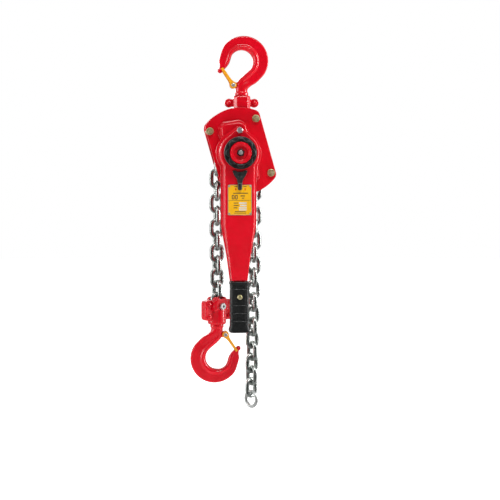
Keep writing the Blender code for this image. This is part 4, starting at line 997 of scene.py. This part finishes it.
def make_selector():
    """Change-over lever: two rounded wings, a boss and a thicker finger to push, on its spindle."""
    wing = [(16.8, 13.0), (10.5, 13.6), (5.5, 10.2), (-5.5, 10.2), (-10.5, 13.6), (-16.8, 13.0),
        (-13.2, 3.4), (-7.4, -4.5), (-5.2, -12.0), (-4.6, -29.6), (4.6, -29.6), (5.2, -12.0), (7.4, -4.5),
        (13.2, 3.4)]
    wing = rounded(wing, [3.4, 3, 6, 6, 3, 3.4, 6, 8, 8, 4, 4, 8, 8, 6], 8)
    knob = soft_prism(wing, -104.9, -100.0, 1.1, 4)
    finger = rounded([(-4.8, -29.9), (4.8, -29.9), (4.9, -13.2), (-4.9, -13.2)], [4.5, 4.5, 2.4, 2.4], 8)
    depths = ((0.0, -101.0), (0.0, -104.4), (0.5, -105.9), (1.5, -106.9), (2.9, -107.4), (3.6, -107.5))
    raised = loft([at_depth(inset(finger, depth), y) for depth, y in depths])
    boss = turned([(4.4, -102.0), (4.2, -105.6), (3.7, -106.1), (2.4, -106.2), (2.0, -105.7),
        (0.5, -105.6)])
    spindle = turned([(5.0, -102.0), (5.0, -70.0)])
    knob = join(knob, raised, boss, spindle)
    piece("selector_knob", knob, "selector", "black_plastic", ["selector"], Places.selector)


# Hand wheel and shaft


def lobed(radius, depth, segments=192, lobes=8):
    """Circle with a hollow between each two of the wheel's finger lobes."""
    ring = []
    for i in range(segments):
        angle = FULL * i / segments
        wave = 0.5 + 0.5 * cos(lobes * angle + pi)
        r = radius - depth * wave**1.6
        ring.append((r * cos(angle), r * sin(angle)))
    return ring


def make_hand_wheel():
    """Moulded wheel: a full round rim behind eight raised lobes, a red hub with a recess in its middle."""
    back, front = WHEEL_BACK, WHEEL_FRONT
    rings = [(24.3, 0, back), (33.2, 0, back), (34.8, 0, back - 0.7), (35.5, 0, back - 2.2),
        (35.6, 0, front + 9.6), (35.4, 0, front + 8.2), (34.9, 0, front + 7.2), (34.0, 0.4, front + 6.7),
        (33.4, 3.0, front + 6.5), (33.0, 5.2, front + 6.0), (32.8, 5.8, front + 4.6),
        (32.5, 5.9, front + 2.2), (31.9, 5.7, front + 1.0), (31.0, 5.1, front + 0.25), (29.8, 4.1, front),
        (28.0, 2.2, front + 0.05), (26.2, 0.6, front + 0.4), (25.0, 0, front + 1.0), (24.5, 0, front + 2.2)]
    grip = loft([at_depth(lobed(radius, depth), y) for radius, depth, y in rings], closed=True)
    piece("hand_wheel_rim", grip, "pinion_shaft", "black_rubber", ["hand_wheel_grip"])
    profile = [(7.4, back + 8.0), (13.0, back + 8.0), (13.0, back), (23.9, back), (23.9, front + 1.8),
        (22.9, front - 0.5), (20.4, front - 0.5), (19.8, front + 1.2), (18.0, front + 1.4),
        (17.4, front + 2.6), (15.6, front + 3.0), (14.6, front + 9.0), (7.4, front + 9.0)]
    radii = [0.3, 0.6, 0.5, 0.5, 1.2, 0.6, 0.5, 0.5, 0.5, 0.6, 1.2, 1.0, 0.3]
    piece("hand_wheel_centre", turned_ring(rounded(profile, radii, 5), segments=128), "pinion_shaft",
        "red_paint", ["hand_wheel_hub"])
    nut = hex_body(15.0, -117.9, -123.4, 0, 0, 0.3)
    slots = [turned_about(soft_prism(rectangle(-12, 12, -1.2, 1.2), -130, -121.0, 0.1, 1), "Y", angle)
        for angle in (13, 73, 133)]
    nut = cut(nut, turned([(6.6, -124.5), (5.4, -122.6), (5.4, -110)], segments=48), *slots)
    piece("castle_nut", nut, "pinion_shaft", "dark_steel", ["wheel_nut"])


def gear_outline(teeth, module, phase, play=0.5, addendum=0.8, dedendum=1.05, pressure=25.0):
    """Involute outline; phase is the angle of one tooth's centre."""
    pitch_radius = teeth * module / 2
    base = pitch_radius * cos(radians(pressure))
    tip = pitch_radius + addendum * module
    root = pitch_radius - dedendum * module
    half_tooth = (pi * module / 2 - play) / 2 / pitch_radius
    involute = math.tan(radians(pressure)) - radians(pressure)
    outline = []
    for tooth in range(teeth):
        centre = phase + FULL * tooth / teeth
        flank = []
        for radius in (root, (root + pitch_radius) / 2, pitch_radius, (pitch_radius + tip) / 2, tip):
            held = math.acos(min(1.0, base / max(radius, base)))
            flank.append((radius, half_tooth + involute - (math.tan(held) - held)))
        sides = [(r, -a) for r, a in flank] + [(r, a) for r, a in reversed(flank)]
        outline += [(r * cos(centre + a), r * sin(centre + a)) for r, a in sides]
    return outline


def make_shaft():
    profile = [(3.6, -125.0), (4.6, -124.3), (5.0, -123.6), (5.0, -117.5), (7.0, -117.0), (7.0, -97.0),
        (9.0, -96.6), (9.0, 44.0), (6.5, 44.4), (6.5, 63.4), (5.9, 64.0)]
    teeth = soft_prism(gear_outline(10, 2.0, radians(90) + PLATE_TILT), 43.0, 56.0, 0.25, 1)
    shaft = join(turned(profile), teeth)
    piece("pinion_spindle", shaft, "pinion_shaft", "zinc_steel", ["pinion_shaft"])


# Scene


def area_light(name, location, target, size, energy):
    data = bpy.data.lights.new(name, "AREA")
    data.shape = "RECTANGLE"
    data.size, data.size_y = size
    data.energy = energy
    light = linked(name, data)
    light.location = location
    light.rotation_euler = (Vector(location) - Vector(target)).to_track_quat("Z", "Y").to_euler()


def make_camera():
    azimuth, elevation = radians(VIEW_AZIMUTH), radians(VIEW_ELEVATION)
    back = Vector((sin(azimuth) * cos(elevation), -cos(azimuth) * cos(elevation), sin(elevation)))
    data = bpy.data.cameras.new("camera")
    data.lens = VIEW_LENS
    data.sensor_width = 36.0
    camera = linked("camera", data)
    camera.location = (Vector(VIEW_CENTRE) + back * VIEW_DISTANCE) * MM
    camera.rotation_euler = back.to_track_quat("Z", "Y").to_euler()
    bpy.context.scene.camera = camera


def make_studio():
    """White surround, a pale floor well below the hoist and four soft lights."""
    bpy.context.scene.view_settings.view_transform = "Standard"
    world = bpy.data.worlds.new("studio")
    bpy.context.scene.world = world
    world.use_nodes = True
    nodes, links = world.node_tree.nodes, world.node_tree.links
    output = nodes["World Output"]
    seen = nodes["Background"]
    seen.inputs["Color"].default_value = (1, 1, 1, 1)
    lighting = nodes.new("ShaderNodeBackground")
    where = nodes.new("ShaderNodeTexCoord")
    split = nodes.new("ShaderNodeSeparateXYZ")
    depth = nodes.new("ShaderNodeMapRange")
    depth.inputs["From Min"].default_value = -1.0
    links.new(where.outputs["Generated"], split.inputs["Vector"])
    links.new(split.outputs["Y"], depth.inputs["Value"])
    stops = [(at, (grey, grey, grey)) for at, grey in ((0.0, 0.03), (0.1, 0.05), (0.3, 0.4), (1.0, 0.6))]
    links.new(ramp(nodes, links, depth.outputs["Result"], stops), lighting.inputs["Color"])
    path = nodes.new("ShaderNodeLightPath")
    mix = nodes.new("ShaderNodeMixShader")
    links.new(path.outputs["Is Camera Ray"], mix.inputs["Fac"])
    links.new(lighting.outputs["Background"], mix.inputs[1])
    links.new(seen.outputs["Background"], mix.inputs[2])
    links.new(mix.outputs["Shader"], output.inputs["Surface"])
    bm = bmesh.new()
    bmesh.ops.create_circle(bm, cap_ends=True, segments=96, radius=9.0)
    mesh = mesh_of("floor", bm)
    mesh.materials.append(MATERIALS["floor"])
    shader = MATERIALS["floor"].node_tree.nodes["Principled BSDF"]
    settings(shader, {"Emission Color": (1, 1, 1, 1), "Emission Strength": 0.8})
    floor = linked("floor", mesh)
    floor.location = (0, 0, FLOOR_LEVEL)
    floor.visible_glossy = False
    area_light("left", (-2.9, -0.4, 0.0), (0, 0, -0.42), (0.6, 2.2), 26)
    area_light("right", (2.9, -0.2, 0.2), (0, 0, -0.42), (0.3, 2.4), 60)
    area_light("above", (0.5, -2.0, 2.2), (0, 0, -0.4), (2.2, 0.7), 62)
    area_light("back", (-0.8, 2.6, 0.6), (0, 0, -0.4), (1.6, 1.6), 30)


CAD_FINISH = {
    "load_gear": "dark_steel", "second_gear_1": "dark_steel", "second_gear_2": "dark_steel",
    "friction_hub": "dark_steel", "friction_disc_inner": "lining", "friction_disc_outer": "lining",
    "ratchet_disc": "dark_steel", "change_gear": "dark_steel", "brake_pawl": "dark_steel",
    "brake_pawl_pin": "zinc_steel", "selector_pawl": "dark_steel", "sheave_bearing_front": "dark_steel",
    "sheave_bearing_rear": "dark_steel", "top_hook_pin": "zinc_steel",
}


def finish_cad_nodes(nodes):
    for name, material in CAD_FINISH.items():
        data = nodes[name].data
        data.materials.clear()
        data.materials.append(MATERIALS[material])


make_camera()
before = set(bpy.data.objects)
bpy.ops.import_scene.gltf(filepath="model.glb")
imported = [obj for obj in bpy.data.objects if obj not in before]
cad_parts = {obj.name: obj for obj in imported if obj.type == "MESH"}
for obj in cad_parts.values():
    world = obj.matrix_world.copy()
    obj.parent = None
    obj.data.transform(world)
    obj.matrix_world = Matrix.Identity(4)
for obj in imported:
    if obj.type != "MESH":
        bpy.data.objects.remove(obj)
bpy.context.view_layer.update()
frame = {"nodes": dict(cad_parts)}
MATERIALS = {name: finish_material(name, *finish) for name, finish in FINISHES.items()}
make_studio()
finish_cad_nodes(frame["nodes"])
make_hooks()
make_chains()
make_side_plates()
make_stays()
make_gear_cover()
make_brake_cover()
make_chain_guide()
make_sheave()
make_yoke()
make_block()
make_lever()
make_grip()
make_name_plate()
make_selector()
make_hand_wheel()
make_shaft()
